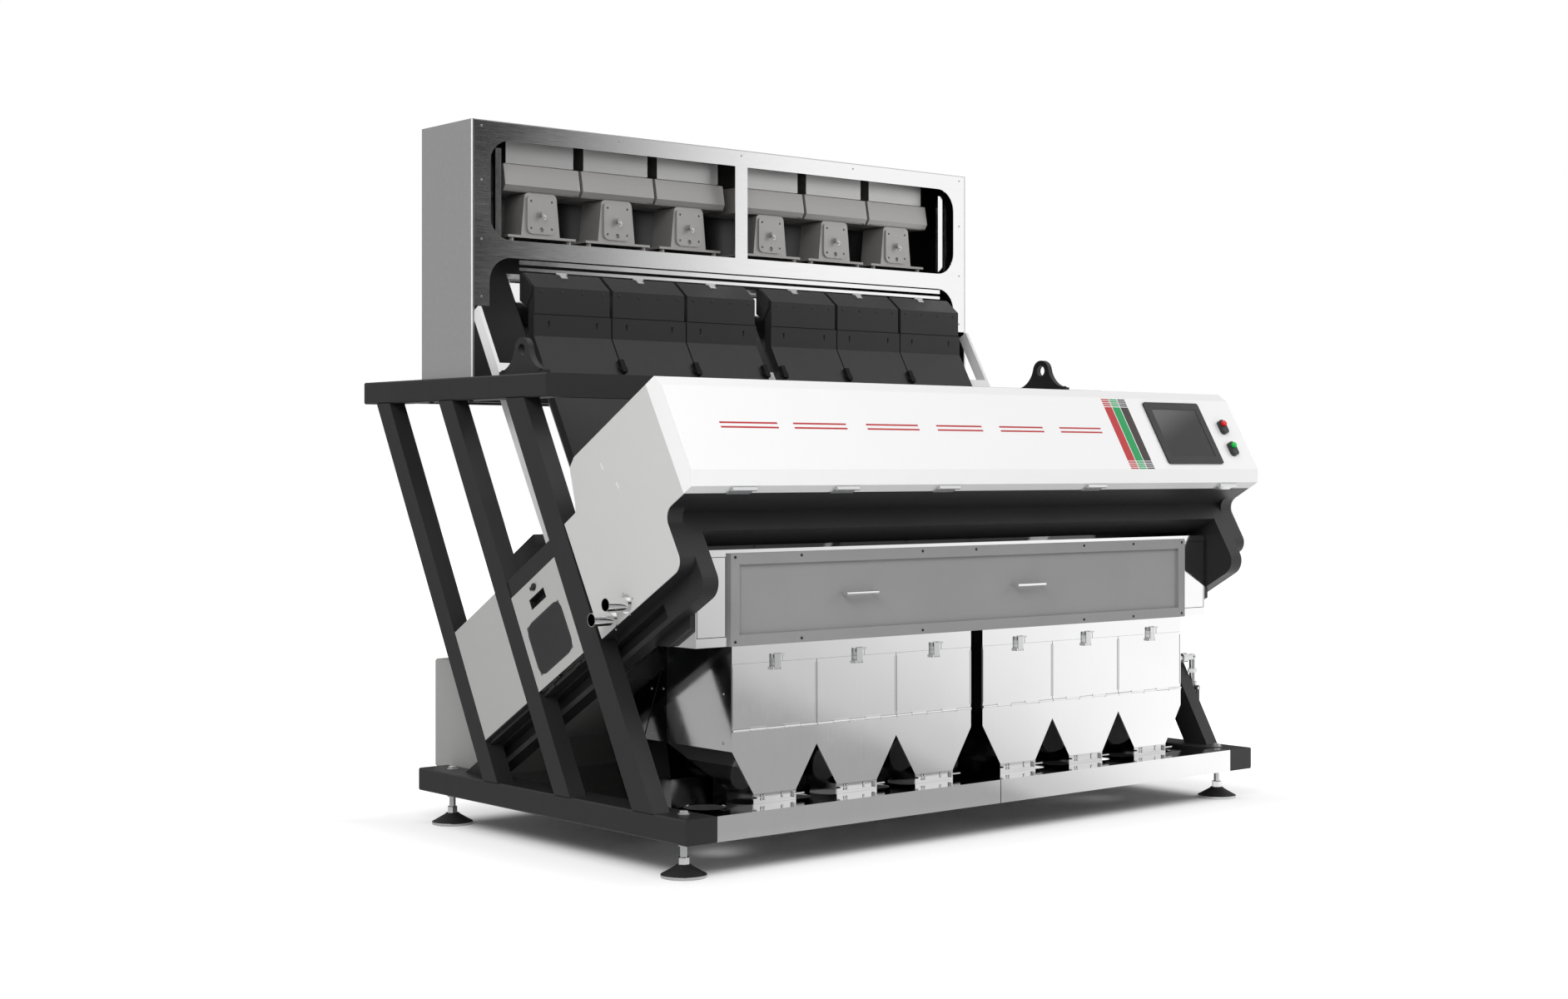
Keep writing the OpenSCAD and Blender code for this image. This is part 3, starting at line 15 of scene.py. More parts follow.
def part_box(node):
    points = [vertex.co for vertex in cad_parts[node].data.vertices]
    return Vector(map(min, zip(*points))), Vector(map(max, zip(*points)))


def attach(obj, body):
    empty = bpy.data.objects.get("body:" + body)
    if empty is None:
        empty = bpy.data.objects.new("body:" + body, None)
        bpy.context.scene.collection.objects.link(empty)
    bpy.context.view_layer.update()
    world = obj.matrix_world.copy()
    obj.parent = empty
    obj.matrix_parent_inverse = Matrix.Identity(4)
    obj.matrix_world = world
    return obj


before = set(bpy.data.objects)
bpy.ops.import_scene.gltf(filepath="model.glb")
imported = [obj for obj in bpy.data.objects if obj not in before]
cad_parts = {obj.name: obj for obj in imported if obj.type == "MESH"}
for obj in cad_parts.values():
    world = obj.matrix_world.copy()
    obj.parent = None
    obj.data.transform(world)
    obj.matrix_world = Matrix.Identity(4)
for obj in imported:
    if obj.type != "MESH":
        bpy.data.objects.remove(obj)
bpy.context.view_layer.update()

bl_info = {
    "name": "Colour sorter finishes",
    "version": (1, 0, 0),
    "blender": (4, 5, 0),
    "location": "View3D > Sidebar > Sorter",
    "description": "Finishes, trim and stage for an optical colour sorter",
    "category": "Object",
}

MM = 0.001
LEAN = math.radians(30.0)
MID_X = (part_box("front_lid")[0].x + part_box("front_lid")[1].x) / 2
FRONT_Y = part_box("base_side_beams")[0].y
DECK_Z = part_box("base_side_beams")[1].z
E1 = Vector((0.0, math.sin(LEAN), math.cos(LEAN)))
E2 = Vector((0.0, math.cos(LEAN), -math.sin(LEAN)))
X = Vector((1.0, 0.0, 0.0))
Y = Vector((0.0, 1.0, 0.0))
Z = Vector((0.0, 0.0, 1.0))
FUNNEL_XS = (-802.5, -491.5, -180.5, 180.5, 491.5, 802.5)
CHUTE_XS = (-785.0, -483.0, -181.0, 181.0, 483.0, 785.0)
FEET = [(x, y) for x in (-1134, 1134) for y in (92, 1274)]
SIDES = (-1, 1)
WHITE = (1.0, 1.0, 1.0, 1.0)
# Height up the slope below which the side panels and service door are painted black, as shade.
PANEL_SHADE_LINE = 596.7


def lid_crease():
    """Lowest front edge of the lid's face, where its height is read from the solid."""
    points = [v.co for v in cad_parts["front_lid"].data.vertices]
    return min(points, key=lambda p: p.y).copy()


CREASE = lid_crease()


def at(x, y, z):
    """A point from millimetres: x from the mid plane, y from the base's front, z from the floor."""
    return Vector((MID_X + x * MM, FRONT_Y + y * MM, z * MM))


def on_deck(x, a, b):
    """A point from millimetres: a square to the slope and b along it, from the base beams' top."""
    return Vector((MID_X + x * MM, FRONT_Y, DECK_Z)) + E1 * (a * MM) + E2 * (b * MM)


def on_lid(x, s):
    """A point on the lid's face: s up the face from its lower crease."""
    return Vector((MID_X + x * MM, CREASE.y, CREASE.z)) + E1 * (s * MM)


def span(x0, x1):
    """The way along X from one place to another, both in millimetres."""
    return X * ((x1 - x0) * MM)


class Value:
    """A shader socket that takes part in sums; every operation adds a Math node."""

    def __init__(self, paint, socket):
        self.paint = paint
        self.socket = socket

    def math(self, operation, other=0.0, swap=False):
        first, second = (other, self) if swap else (self, other)
        return self.paint.node("ShaderNodeMath", {"operation": operation}, {0: first, 1: second})

    def __add__(self, other):
        return self.math("ADD", other)

    __radd__ = __add__

    def __sub__(self, other):
        return self.math("SUBTRACT", other)

    def __rsub__(self, other):
        return self.math("SUBTRACT", other, swap=True)

    def __mul__(self, other):
        return self.math("MULTIPLY", other)

    __rmul__ = __mul__

    def __truediv__(self, other):
        return self.math("DIVIDE", other)

    def __pow__(self, other):
        return self.math("POWER", other)

    def __gt__(self, other):
        return self.math("GREATER_THAN", other)

    def __lt__(self, other):
        return self.math("LESS_THAN", other)

    def __abs__(self):
        return self.math("ABSOLUTE")

    def most(self, other):
        return self.math("MAXIMUM", other)

    def ramp(self, start, stop, low, high):
        """Eases from low to high while the value goes from start to stop."""
        return self.paint.node("ShaderNodeMapRange", {"interpolation_type": "SMOOTHSTEP"},
                               {"Value": self, 1: start, 2: stop, 3: low, 4: high})


class Paint:
    """One material or world; node() adds any node, and close() joins a shader to the output."""

    def __init__(self, owner):
        self.owner = owner
        owner.use_nodes = True
        self.tree = owner.node_tree
        self.tree.nodes.clear()

    def node(self, kind, settings=None, sockets=None, out=0):
        made = self.tree.nodes.new(kind)
        for key, value in (settings or {}).items():
            setattr(made, key, value)
        for key, value in (sockets or {}).items():
            if isinstance(value, Value):
                self.tree.links.new(value.socket, made.inputs[key])
            else:
                made.inputs[key].default_value = value
        return Value(self, made.outputs[out])

    def place(self, scale=(1.0, 1.0, 1.0), turn=(0.0, 0.0, 0.0)):
        raw = self.node("ShaderNodeTexCoord", out="Object")
        return self.node("ShaderNodeMapping", None, {"Vector": raw, "Scale": scale, "Rotation": turn})

    def noise(self, where, scale, detail, rough=0.5):
        return self.node(
            "ShaderNodeTexNoise", None,
            {"Vector": where, "Scale": scale, "Detail": detail, "Roughness": rough},
        )

    def axes(self, where):
        split = self.tree.nodes.new("ShaderNodeSeparateXYZ")
        self.tree.links.new(where.socket, split.inputs[0])
        return [Value(self, s) for s in split.outputs]

    def rays(self):
        """1 for what is seen straight, in metal and through glass, in that order."""
        path = self.tree.nodes.new("ShaderNodeLightPath")
        kinds = ("Is Camera Ray", "Is Glossy Ray", "Is Transmission Ray")
        return [Value(self, path.outputs[kind]) for kind in kinds]

    def tint(self, colour, tone):
        return self.node("ShaderNodeVectorMath", {"operation": "SCALE"},
                         {0: tuple(colour)[:3], "Scale": tone})

    def mix(self, share, first, second):
        def full(c):
            return c if isinstance(c, Value) else (*tuple(c)[:3], 1.0)

        return self.node(
            "ShaderNodeMix", {"data_type": "RGBA"}, {0: share, 6: full(first), 7: full(second)}, out=2
        )

    def bump(self, height, strength, depth):
        return self.node("ShaderNodeBump", None,
                         {"Height": height, "Strength": strength, "Distance": depth})

    def finish(self, sockets):
        shader = self.node("ShaderNodeBsdfPrincipled", None, sockets)
        self.close(shader, "ShaderNodeOutputMaterial")
        return self.owner

    def close(self, shader, output):
        out = self.tree.nodes.new(output)
        self.tree.links.new(shader.socket, out.inputs["Surface"])


def powder_coat(name, colour, rough, grain, depth, mottle, shade_line_point=None):
    """Sprayed powder coat: fine orange peel, faint clouding and a little uneven sheen.

    Below a sloping line through the given point it is painted black, as shade.
    """
    p = Paint(bpy.data.materials.new(name))
    where = p.place()
    peel = p.noise(where, grain, 2.0)
    cloud = p.noise(where, 4.0, 5.0, 0.6)
    smear = p.noise(p.place((1.0, 1.0, 0.25)), 26.0, 4.0, 0.65)
    tone = 1.0 + (cloud - 0.5) * mottle + (peel - 0.5) * (0.6 * mottle)
    if shade_line_point is not None:
        # Painted shade: the coat turns black below the sloping line.
        _, y, z = p.axes(where)
        height = y * E1.y + z * E1.z - shade_line_point.dot(E1)
        tone = tone * height.ramp(-0.0002, 0.0002, 0.06, 1.0)
    return p.finish({
        "Base Color": p.tint(colour, tone),
        "Roughness": rough + (smear - 0.5) * 0.16 + (peel - 0.5) * 0.1,
        "Normal": p.bump(peel, depth, 0.0004),
        "Specular IOR Level": 0.38,
    })


def brushed_steel(name, colour, along, rough, streak, shade_inside_node=None):
    """Brushed stainless sheet with its grain along one axis.

    The inner faces of the named node are painted dark, as shade inside it.
    """
    p = Paint(bpy.data.materials.new(name))
    grain_scale = {"x": (0.02, 1.0, 1.0), "y": (1.0, 0.02, 1.0), "z": (1.0, 1.0, 0.02)}[along]
    grain = p.noise(p.place(grain_scale), 700.0, 3.0, 0.6)
    broad = p.noise(p.place(grain_scale), 60.0, 3.0, 0.6)
    cloud = p.noise(p.place(), 3.0, 4.0, 0.6)
    tone = 1.0 + (grain - 0.5) * streak + (broad - 0.5) * streak + (cloud - 0.5) * 0.06
    if shade_inside_node:
        low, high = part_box(shade_inside_node)
        x, y, z = p.axes(p.place())
        skin, front_skin = 0.0012, 0.012
        inner = ((x > low.x + skin) * (x < high.x - skin) * (y > low.y + front_skin)
                 * (y < high.y - skin) * (z < high.z - skin))
        # Painted shade: the inner faces are darkened by 82 percent.
        tone = tone * (1.0 - inner * 0.82)
    return p.finish({
        "Base Color": p.tint(colour, tone),
        "Metallic": 1.0,
        "Roughness": rough + (grain - 0.5) * 0.22 + (cloud - 0.5) * 0.1,
        "Normal": p.bump(grain, 0.1, 0.0003),
    })


def polished_steel(name, colour, rough, shade_below_z=None):
    """Mirror-rolled stainless with hairline handling marks; painted shade makes it darker below a height and
    between the spouts.
    """
    p = Paint(bpy.data.materials.new(name))
    wave = p.noise(p.place(), 5.0, 2.0)
    hair = p.noise(p.place((1.0, 1.0, 0.04), (0.3, 0.2, 0.4)), 420.0, 2.0, 0.7)
    smudge = p.noise(p.place(), 14.0, 5.0, 0.7)
    tone = 1.0 + (wave - 0.5) * 0.06 + (hair - 0.5) * 0.05
    if shade_below_z:
        x, y, z = p.axes(p.place())
        # Painted shade: darker below the given height and in the gaps behind and between the spouts.
        spout_back, taper_top, half_bank, blur = 0.107, 0.345, 0.93, 0.0005
        between = (y > FRONT_Y + spout_back) * (z < taper_top) * (abs(x - MID_X) < half_bank)
        dull = z.ramp(shade_below_z - blur, shade_below_z + blur, 0.74, 1.0)
        tone = tone * dull * (1.0 - between * 0.7)
    return p.finish({
        "Base Color": p.tint(colour, tone),
        "Metallic": 1.0,
        "Roughness": rough + (smudge - 0.5) * 0.14 + (hair - 0.5) * 0.08,
        "Normal": p.bump(wave, 0.06, 0.004),
    })


def cast_alloy(name, colour, rough):
    """Bead-blasted casting with a pitted skin."""
    p = Paint(bpy.data.materials.new(name))
    pits = p.noise(p.place(), 900.0, 3.0, 0.7)
    cloud = p.noise(p.place(), 12.0, 5.0, 0.6)
    return p.finish({
        "Base Color": p.tint(colour, 1.0 + (pits - 0.5) * 0.16 + (cloud - 0.5) * 0.12),
        "Metallic": 0.75,
        "Roughness": rough + (cloud - 0.5) * 0.16,
        "Normal": p.bump(pits, 0.22, 0.0005),
    })


def moulded_plastic(name, colour, rough, grain):
    """Injection-moulded plastic with a spark-eroded texture."""
    p = Paint(bpy.data.materials.new(name))
    spark = p.noise(p.place(), grain, 2.0, 0.6)
    worn = p.noise(p.place(), 30.0, 4.0, 0.6)
    return p.finish({
        "Base Color": p.tint(colour, 1.0 + (worn - 0.5) * 0.12 + (spark - 0.5) * 0.1),
        "Roughness": rough + (worn - 0.5) * 0.18,
        "Normal": p.bump(spark, 0.12, 0.0003),
    })


def printed_film(name, colour):
    """Cut vinyl film: even colour with a faint grain and low sheen."""
    p = Paint(bpy.data.materials.new(name))
    grain = p.noise(p.place(), 1600.0, 2.0)
    fade = p.noise(p.place(), 6.0, 3.0)
    return p.finish({
        "Base Color": p.tint(colour, 1.0 + (fade - 0.5) * 0.08 + (grain - 0.5) * 0.06),
        "Roughness": 0.38 + (grain - 0.5) * 0.2,
    })


def display_glass(name, colour, reflection_grey):
    """Dark display glass: a sleeping panel with a painted reflection that lightens it towards its upper left
    corner.
    """
    p = Paint(bpy.data.materials.new(name))
    x, _, z = p.axes(p.place())
    lower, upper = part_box("screen_glass")
    side = (upper.x - x) * (1.0 / (upper.x - lower.x))
    rise = (z - lower.z) * (1.0 / (upper.z - lower.z))
    # Painted reflection: the colour blends towards the lighter grey near the upper left corner.
    sheen = (side * 0.55 + rise).ramp(0.72, 1.5, 0.0, 1.0)
    smear = p.noise(p.place(), 40.0, 4.0, 0.7)
    return p.finish({
        "Base Color": p.mix(sheen, colour, reflection_grey),
        "Roughness": 0.12 + (smear - 0.5) * 0.06,
        "Specular IOR Level": 0.3,
    })


def colour_property(label, use, default):
    return FloatVectorProperty(
        name=label, description=use, subtype="COLOR", default=default, min=0.0, max=1.0)


def length_property(label, use, default, low, high):
    return FloatProperty(
        name=label, description=use, unit="LENGTH", default=default, min=low, max=high)


class SorterColours(bpy.types.PropertyGroup):
    """Colours of the finishes, as linear values."""

    frame_black: colour_property(
        "Frame black", "Coat of the frame, arms and chute covers", (0.021, 0.021, 0.022))
    cover_grey: colour_property(
        "Cover grey", "Coat of the side covers and the front box", (0.57, 0.57, 0.56))
    lid_white: colour_property("Lid white", "Coat of the lift-up lid", (0.86, 0.86, 0.86))
    panel_grey: colour_property(
        "Panel grey", "Coat of the side panels and the service door", (0.44, 0.44, 0.433))
    box_grey: colour_property(
        "Box grey", "Coat of the control box and the rear housing", (0.37, 0.37, 0.363))
    access_grey: colour_property(
        "Access grey", "Coat of the screwed access cover", (0.275, 0.275, 0.278))
    brushed: colour_property("Brushed stainless", "Feeder cabinet sheet", (0.74, 0.74, 0.745))
    polished: colour_property("Polished stainless", "Funnels, rails and pipes", (0.92, 0.92, 0.92))
    alloy: colour_property("Cast alloy", "Feeder trays and drives", (0.54, 0.53, 0.52))
    stripe_red: colour_property("Stripe red", "Red film on the lid", (0.47, 0.02, 0.025))
    stripe_green: colour_property("Stripe green", "Green film on the lid", (0.0, 0.3, 0.08))
    stripe_dark: colour_property("Stripe dark", "Dark film on the lid", (0.035, 0.026, 0.024))


class SorterTrim(bpy.types.PropertyGroup):
    """Sizes of the small trim."""

    film: length_property(
        "Film thickness", "Thickness of the stripes on the lid", 0.0003, 0.0001, 0.001)
    screw: length_property(
        "Screw radius", "Radius of a cover screw's head", 0.0042, 0.002, 0.008)
    bolt: length_property(
        "Bolt radius", "Radius of a frame bolt's head", 0.008, 0.004, 0.014)
    wire: length_property(
        "Filter wire", "Width of a wire of the filter mesh", 0.0012, 0.0005, 0.003)
    wire_pitch: length_property(
        "Filter pitch", "Distance between the filter's wires", 0.0042, 0.003, 0.01)


class SorterStage(bpy.types.PropertyGroup):
    """Camera and lamps."""

    lens: FloatProperty(
        name="Lens", description="Focal length on a 36 mm wide sensor", unit="CAMERA",
        default=50.885, min=20.0, max=120.0)
    yaw: FloatProperty(
        name="Yaw", description="Turn of the camera from straight ahead", subtype="ANGLE",
        default=math.radians(40.18), min=0.0, max=math.pi)
    eye: FloatVectorProperty(
        name="Eye", description="Place of the camera", subtype="TRANSLATION",
        default=(-4.7919, -5.521, 1.1108))
    key: FloatProperty(
        name="Key lamp", description="Power of the main soft lamp", default=235.0, min=0.0, max=4000.0)
    fill: FloatProperty(
        name="Fill lamp", description="Power of the soft lamp on the other side", default=90.0,
        min=0.0, max=4000.0)
    sky: FloatProperty(
        name="Room light", description="Strength of the even light from all round", default=0.55,
        min=0.0, max=2.0)


RECIPES = {
    "frame_coat": (powder_coat, "frame_black", 0.4, 1500.0, 0.1, 0.14),
    "cover_coat": (powder_coat, "cover_grey", 0.46, 1500.0, 0.08, 0.03),
    "lid_coat": (powder_coat, "lid_white", 0.4, 1700.0, 0.05, 0.02),
    # The side panels and service door carry a painted shade band below a sloping line.
    "panel_coat": (powder_coat, "panel_grey", 0.46, 1500.0, 0.08, 0.03, on_deck(0, PANEL_SHADE_LINE, 0)),
    "box_coat": (powder_coat, "box_grey", 0.5, 1400.0, 0.1, 0.05),
    "access_coat": (powder_coat, "access_grey", 0.5, 700.0, 0.3, 0.16),
    "rail_coat": (powder_coat, (0.8, 0.8, 0.8), 0.3, 1700.0, 0.05, 0.03),
    # The cabinet's inner faces carry painted shade.
    "cabinet_sheet": (brushed_steel, "brushed", "x", 0.34, 0.12, "cabinet_shell"),
    "cabinet_face": (brushed_steel, "polished", "x", 0.1, 0.04),
    "hopper_sheet": (brushed_steel, (0.78, 0.775, 0.77), "x", 0.4, 0.1),
    "polished_sheet": (polished_steel, "polished", 0.1),
    # The funnels carry painted shade below their spouts and between them.
    "funnel_sheet": (polished_steel, "polished", 0.1, 0.1985),
    "tray_sheet": (polished_steel, (0.6, 0.6, 0.605), 0.06),
    "rear_sheet": (polished_steel, (0.24, 0.24, 0.243), 0.1),
    "mirror_sheet": (polished_steel, "polished", 0.09),
    "pipe_steel": (polished_steel, "polished", 0.1),
    "plated_steel": (polished_steel, (0.74, 0.745, 0.75), 0.24),
    "zinc_plate": (cast_alloy, (0.78, 0.78, 0.78), 0.34),
    "cast_alloy": (cast_alloy, "alloy", 0.5),
    "dark_alloy": (cast_alloy, (0.09, 0.09, 0.095), 0.44),
    "black_plastic": (moulded_plastic, (0.018, 0.018, 0.019), 0.4, 1800.0),
    "black_rubber": (moulded_plastic, (0.02, 0.02, 0.02), 0.62, 800.0),
    # Near black for gaps, holes, seams and hinge blocks, and for the painted lap shadows of the chute
    # covers.
    "gap_and_shadow_black": (moulded_plastic, (0.005, 0.005, 0.005), 0.85, 900.0),
    "filter_mesh": (moulded_plastic, (0.05, 0.05, 0.052), 0.55, 2600.0),
    "red_plastic": (moulded_plastic, (0.78, 0.01, 0.012), 0.22, 2200.0),
    "green_plastic": (moulded_plastic, (0.0, 0.5, 0.06), 0.22, 2200.0),
    # The second colour is the grey of the screen's painted reflection.
    "screen_glass": (display_glass, (0.02, 0.02, 0.021), (0.11, 0.11, 0.11)),
    "red_film": (printed_film, "stripe_red"),
    "green_film": (printed_film, "stripe_green"),
    "dark_film": (printed_film, "stripe_dark"),
}


class Finishes:
    """The materials, made once and shared by the operators."""

    made = {}

    @classmethod
    def get(cls, name):
        if name not in cls.made:
            recipe, colour, *rest = RECIPES[name]
            if isinstance(colour, str):
                colour = getattr(bpy.context.scene.sorter_colours, colour)
            cls.made[name] = recipe(name, colour, *rest)
        return cls.made[name]


COATS = {
    "frame_coat": [
        "base_side_beams", "base_cross_beams", "frame_posts", "top_side_bars", "top_cross_beams",
        "lifting_eyes", "support_arms", "brace_bars", "side_frames", "front_frame", "chute_covers",
        "rear_camera_box",
    ],
    "cover_coat": ["side_covers", "front_box_shell"],
    "panel_coat": ["side_panels", "service_door"],
    "box_coat": ["rear_housing", "control_box"],
    "mirror_sheet": ["sorting_box"],
    "lid_coat": ["front_lid"],
    "access_coat": ["access_cover"],
    "cabinet_sheet": ["cabinet_shell"],
    "cabinet_face": ["cabinet_front"],
    "tray_sheet": ["outlet_tray"],
    "rear_sheet": ["rear_funnels"],
    "rail_coat": ["chute_rails"],
    "funnel_sheet": ["front_funnels"],
    "polished_sheet": ["base_front_rails", "chutes"] + [f"funnel_door_{i}" for i in range(1, 7)],
    "pipe_steel": ["suction_pipes", "cover_handles"],
    "plated_steel": ["foot_screws", "lid_clips", "air_line", "ejector_bar"]
                    + [f"funnel_latch_{i}" for i in range(1, 7)],
    "hopper_sheet": ["feed_hoppers"],
    "cast_alloy": ["feeder_trays", "feeder_drives"],
    "dark_alloy": ["front_cameras"],
    "black_plastic": ["screen_bezel", "button_guards", "valve_lever", "door_lock"],
    "black_rubber": ["foot_pads"],
    "filter_mesh": ["door_filter"],
    "red_plastic": ["stop_button"],
    "green_plastic": ["start_button"],
    "screen_glass": ["screen_glass"],
}


class Shape:
    """Gathers solids into one mesh and hands it over as a piece that rides on a body."""

    def __init__(self):
        self.bm = bmesh.new()

    def prism(self, outline, reach):
        """A closed outline of points carried along a vector."""
        near = [self.bm.verts.new(p) for p in outline]
        far = [self.bm.verts.new(p + reach) for p in outline]
        self.bm.faces.new(near)
        self.bm.faces.new(list(reversed(far)))
        for i in range(len(near)):
            j = (i + 1) % len(near)
            self.bm.faces.new([near[j], near[i], far[i], far[j]])
        return self

    def slab(self, corner, u, v, reach):
        """A box from a corner and three edges."""
        return self.prism([corner, corner + u, corner + u + v, corner + v], reach)

    def ring(self, foot, spin, radius, height, sides):
        """Corners round an axis."""
        turns = [2 * math.pi * k / sides for k in range(sides)]
        return [
            self.bm.verts.new(
                foot + spin @ Vector((radius * math.cos(turn), radius * math.sin(turn), height)))
            for turn in turns
        ]

    def skin(self, rings):
        """Closes a row of rings into a solid."""
        self.bm.faces.new(list(reversed(rings[0])))
        self.bm.faces.new(rings[-1])
        for low, high in zip(rings, rings[1:]):
            for k in range(len(low)):
                j = (k + 1) % len(low)
                self.bm.faces.new([low[k], low[j], high[j], high[k]])
        return self

    def turned(self, foot, axis, profile, sides):
        """A turned solid: profile is (radius, height) pairs from the foot up, closed at both ends."""
        spin = axis.to_track_quat("Z", "Y")
        return self.skin([self.ring(foot, spin, radius, height, sides) for radius, height in profile])

    def tube(self, path, radius, sides):
        """A round bar along a path of points."""
        rings = []
        for i, p in enumerate(path):
            ahead = path[min(i + 1, len(path) - 1)] - path[max(i - 1, 0)]
            rings.append(self.ring(p, ahead.to_track_quat("Z", "Y"), radius, 0.0, sides))
        return self.skin(rings)

    def soften(self, width, segments=2):
        """Rounds the sharp edges."""
        edges = [e for e in self.bm.edges if e.is_manifold and e.calc_face_angle() > 0.5]
        bmesh.ops.bevel(self.bm, geom=edges, offset=width, segments=segments, affect="EDGES",
                        profile=0.5, clamp_overlap=True)
        return self

    def done(self, name, finish, slot, body="frame", smooth=False):
        bmesh.ops.recalc_face_normals(self.bm, faces=self.bm.faces)
        mesh = bpy.data.meshes.new(name)
        self.bm.to_mesh(mesh)
        self.bm.free()
        for face in mesh.polygons:
            face.use_smooth = smooth
        return hand_over(bpy.data.objects.new(name, mesh), finish, body)


def hand_over(piece, finish, body):
    """Links a finished mesh object, dresses it and lets it ride on its body."""
    piece.data.materials.clear()
    piece.data.materials.append(Finishes.get(finish))
    bpy.context.scene.collection.objects.link(piece)
    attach(piece, body)
    return piece


def new_tree(name, inputs, output):
    """A node tree with its input sockets, one geometry output and the nodes at its two ends."""
    tree = bpy.data.node_groups.new(name, "GeometryNodeTree")
    for label, kind in inputs:
        tree.interface.new_socket(name=label, in_out="INPUT", socket_type="NodeSocket" + kind)
    tree.interface.new_socket(name=output, in_out="OUTPUT", socket_type="NodeSocketGeometry")
    return tree, tree.nodes.new("NodeGroupInput"), tree.nodes.new("NodeGroupOutput")


def dressed(tree, geometry, given, result):
    """Ends a node tree: makes its instances real and gives them the finish."""
    add, link = tree.nodes.new, tree.links.new
    real, dress = add("GeometryNodeRealizeInstances"), add("GeometryNodeSetMaterial")
    link(geometry, real.inputs["Geometry"])
    link(real.outputs["Geometry"], dress.inputs["Geometry"])
    link(given.outputs["Finish"], dress.inputs["Material"])
    link(dress.outputs["Geometry"], result.inputs[0])
    return tree


def fixing_tree():
    """Node tree that sets one head on every point, aimed along the point's own direction."""
    inputs = (("Points", "Geometry"), ("Head", "Object"), ("Radius", "Float"), ("Finish", "Material"))
    tree, given, result = new_tree("fixings", inputs, "Fixings")
    add, link = tree.nodes.new, tree.links.new
    head, aim = add("GeometryNodeObjectInfo"), add("GeometryNodeInputNamedAttribute")
    aim.data_type = "FLOAT_VECTOR"
    aim.inputs["Name"].default_value = "aim"
    turn, spread = add("FunctionNodeAlignRotationToVector"), add("GeometryNodeInstanceOnPoints")
    turn.axis = "Z"
    link(given.outputs["Head"], head.inputs["Object"])
    link(aim.outputs["Attribute"], turn.inputs["Vector"])
    link(given.outputs["Points"], spread.inputs["Points"])
    link(head.outputs["Geometry"], spread.inputs["Instance"])
    link(turn.outputs["Rotation"], spread.inputs["Rotation"])
    link(given.outputs["Radius"], spread.inputs["Scale"])
    return dressed(tree, spread.outputs["Instances"], given, result)


def lattice_tree():
    """Node tree that crosses two rows of wires over a field, width along X and height along Y."""
    inputs = [(name, "Float") for name in ("Width", "Height", "Pitch", "Wire")]
    tree, given, result = new_tree("lattice", inputs + [("Finish", "Material")], "Lattice")
    add, link = tree.nodes.new, tree.links.new
    gather = add("GeometryNodeJoinGeometry")

    def maths(operation, first, second):
        made = add("ShaderNodeMath")
        made.operation = operation
        for socket, value in zip(made.inputs, (first, second)):
            if isinstance(value, float):
                socket.default_value = value
            else:
                link(value, socket)
        return made.outputs[0]

    for across in (True, False):
        reach = given.outputs["Height" if across else "Width"]
        span = given.outputs["Width" if across else "Height"]
        count = maths("FLOOR", maths("DIVIDE", span, given.outputs["Pitch"]), 0.0)
        half_back = maths("MULTIPLY", given.outputs["Pitch"], -0.5)
        start = maths("MULTIPLY", maths("SUBTRACT", count, 1.0), half_back)
        row, wire = add("GeometryNodeMeshLine"), add("GeometryNodeMeshCube")
        spread = add("GeometryNodeInstanceOnPoints")
        first, step, size = [add("ShaderNodeCombineXYZ") for _ in range(3)]
        axis, other = ("X", "Y") if across else ("Y", "X")
        link(start, first.inputs[axis])
        link(given.outputs["Pitch"], step.inputs[axis])
        link(given.outputs["Wire"], size.inputs[axis])
        link(reach, size.inputs[other])
        link(given.outputs["Wire"], size.inputs["Z"])
        link(count, row.inputs["Count"])
        link(first.outputs[0], row.inputs["Start Location"])
        link(step.outputs[0], row.inputs["Offset"])
        link(size.outputs[0], wire.inputs["Size"])
        link(row.outputs["Mesh"], spread.inputs["Points"])
        link(wire.outputs["Mesh"], spread.inputs["Instance"])
        link(spread.outputs["Instances"], gather.inputs["Geometry"])
    return dressed(tree, gather.outputs["Geometry"], given, result)


def run_tree(carrier, tree, values):
    """Runs a node tree on a carrier object and returns the result as a plain mesh."""
    bpy.context.scene.collection.objects.link(carrier)
    modifier = carrier.modifiers.new("rule", "NODES")
    modifier.node_group = tree
    for item in tree.interface.items_tree:
        if item.in_out == "INPUT" and item.name in values:
            modifier[item.identifier] = values[item.name]
    evaluated = carrier.evaluated_get(bpy.context.evaluated_depsgraph_get())
    mesh = bpy.data.meshes.new_from_object(evaluated)
    carrier.modifiers.clear()
    bpy.data.objects.remove(carrier)
    return mesh


def head_mesh(kind):
    """A head of radius 1 that stands on z = 0: a domed socket screw, a hexagon bolt or a louvre."""
    shape = Shape()
    if kind == "socket":
        dome = [(1.0, -0.3), (1.0, 0.12), (0.9, 0.34), (0.62, 0.5), (0.5, 0.5), (0.44, 0.2)]
        shape.turned(Vector(), Z, dome, 14)
    elif kind == "hexagon":
        shape.turned(Vector(), Z, [(1.3, -0.2), (1.3, 0.16)], 16)
        shape.turned(Vector(), Z, [(1.0, 0.1), (1.0, 0.62), (0.86, 0.72)], 6)
    elif kind == "louvre":
        wedge = ((-0.09, -0.02), (0.07, -0.02), (-0.09, 0.1))
        shape.prism([Vector((-1.0, y, z)) for y, z in wedge], X * 2)
    else:
        raise ValueError(f"no head called {kind}")
    mesh = bpy.data.meshes.new("head_" + kind)
    bmesh.ops.recalc_face_normals(shape.bm, faces=shape.bm.faces)
    shape.bm.to_mesh(mesh)
    shape.bm.free()
    return mesh


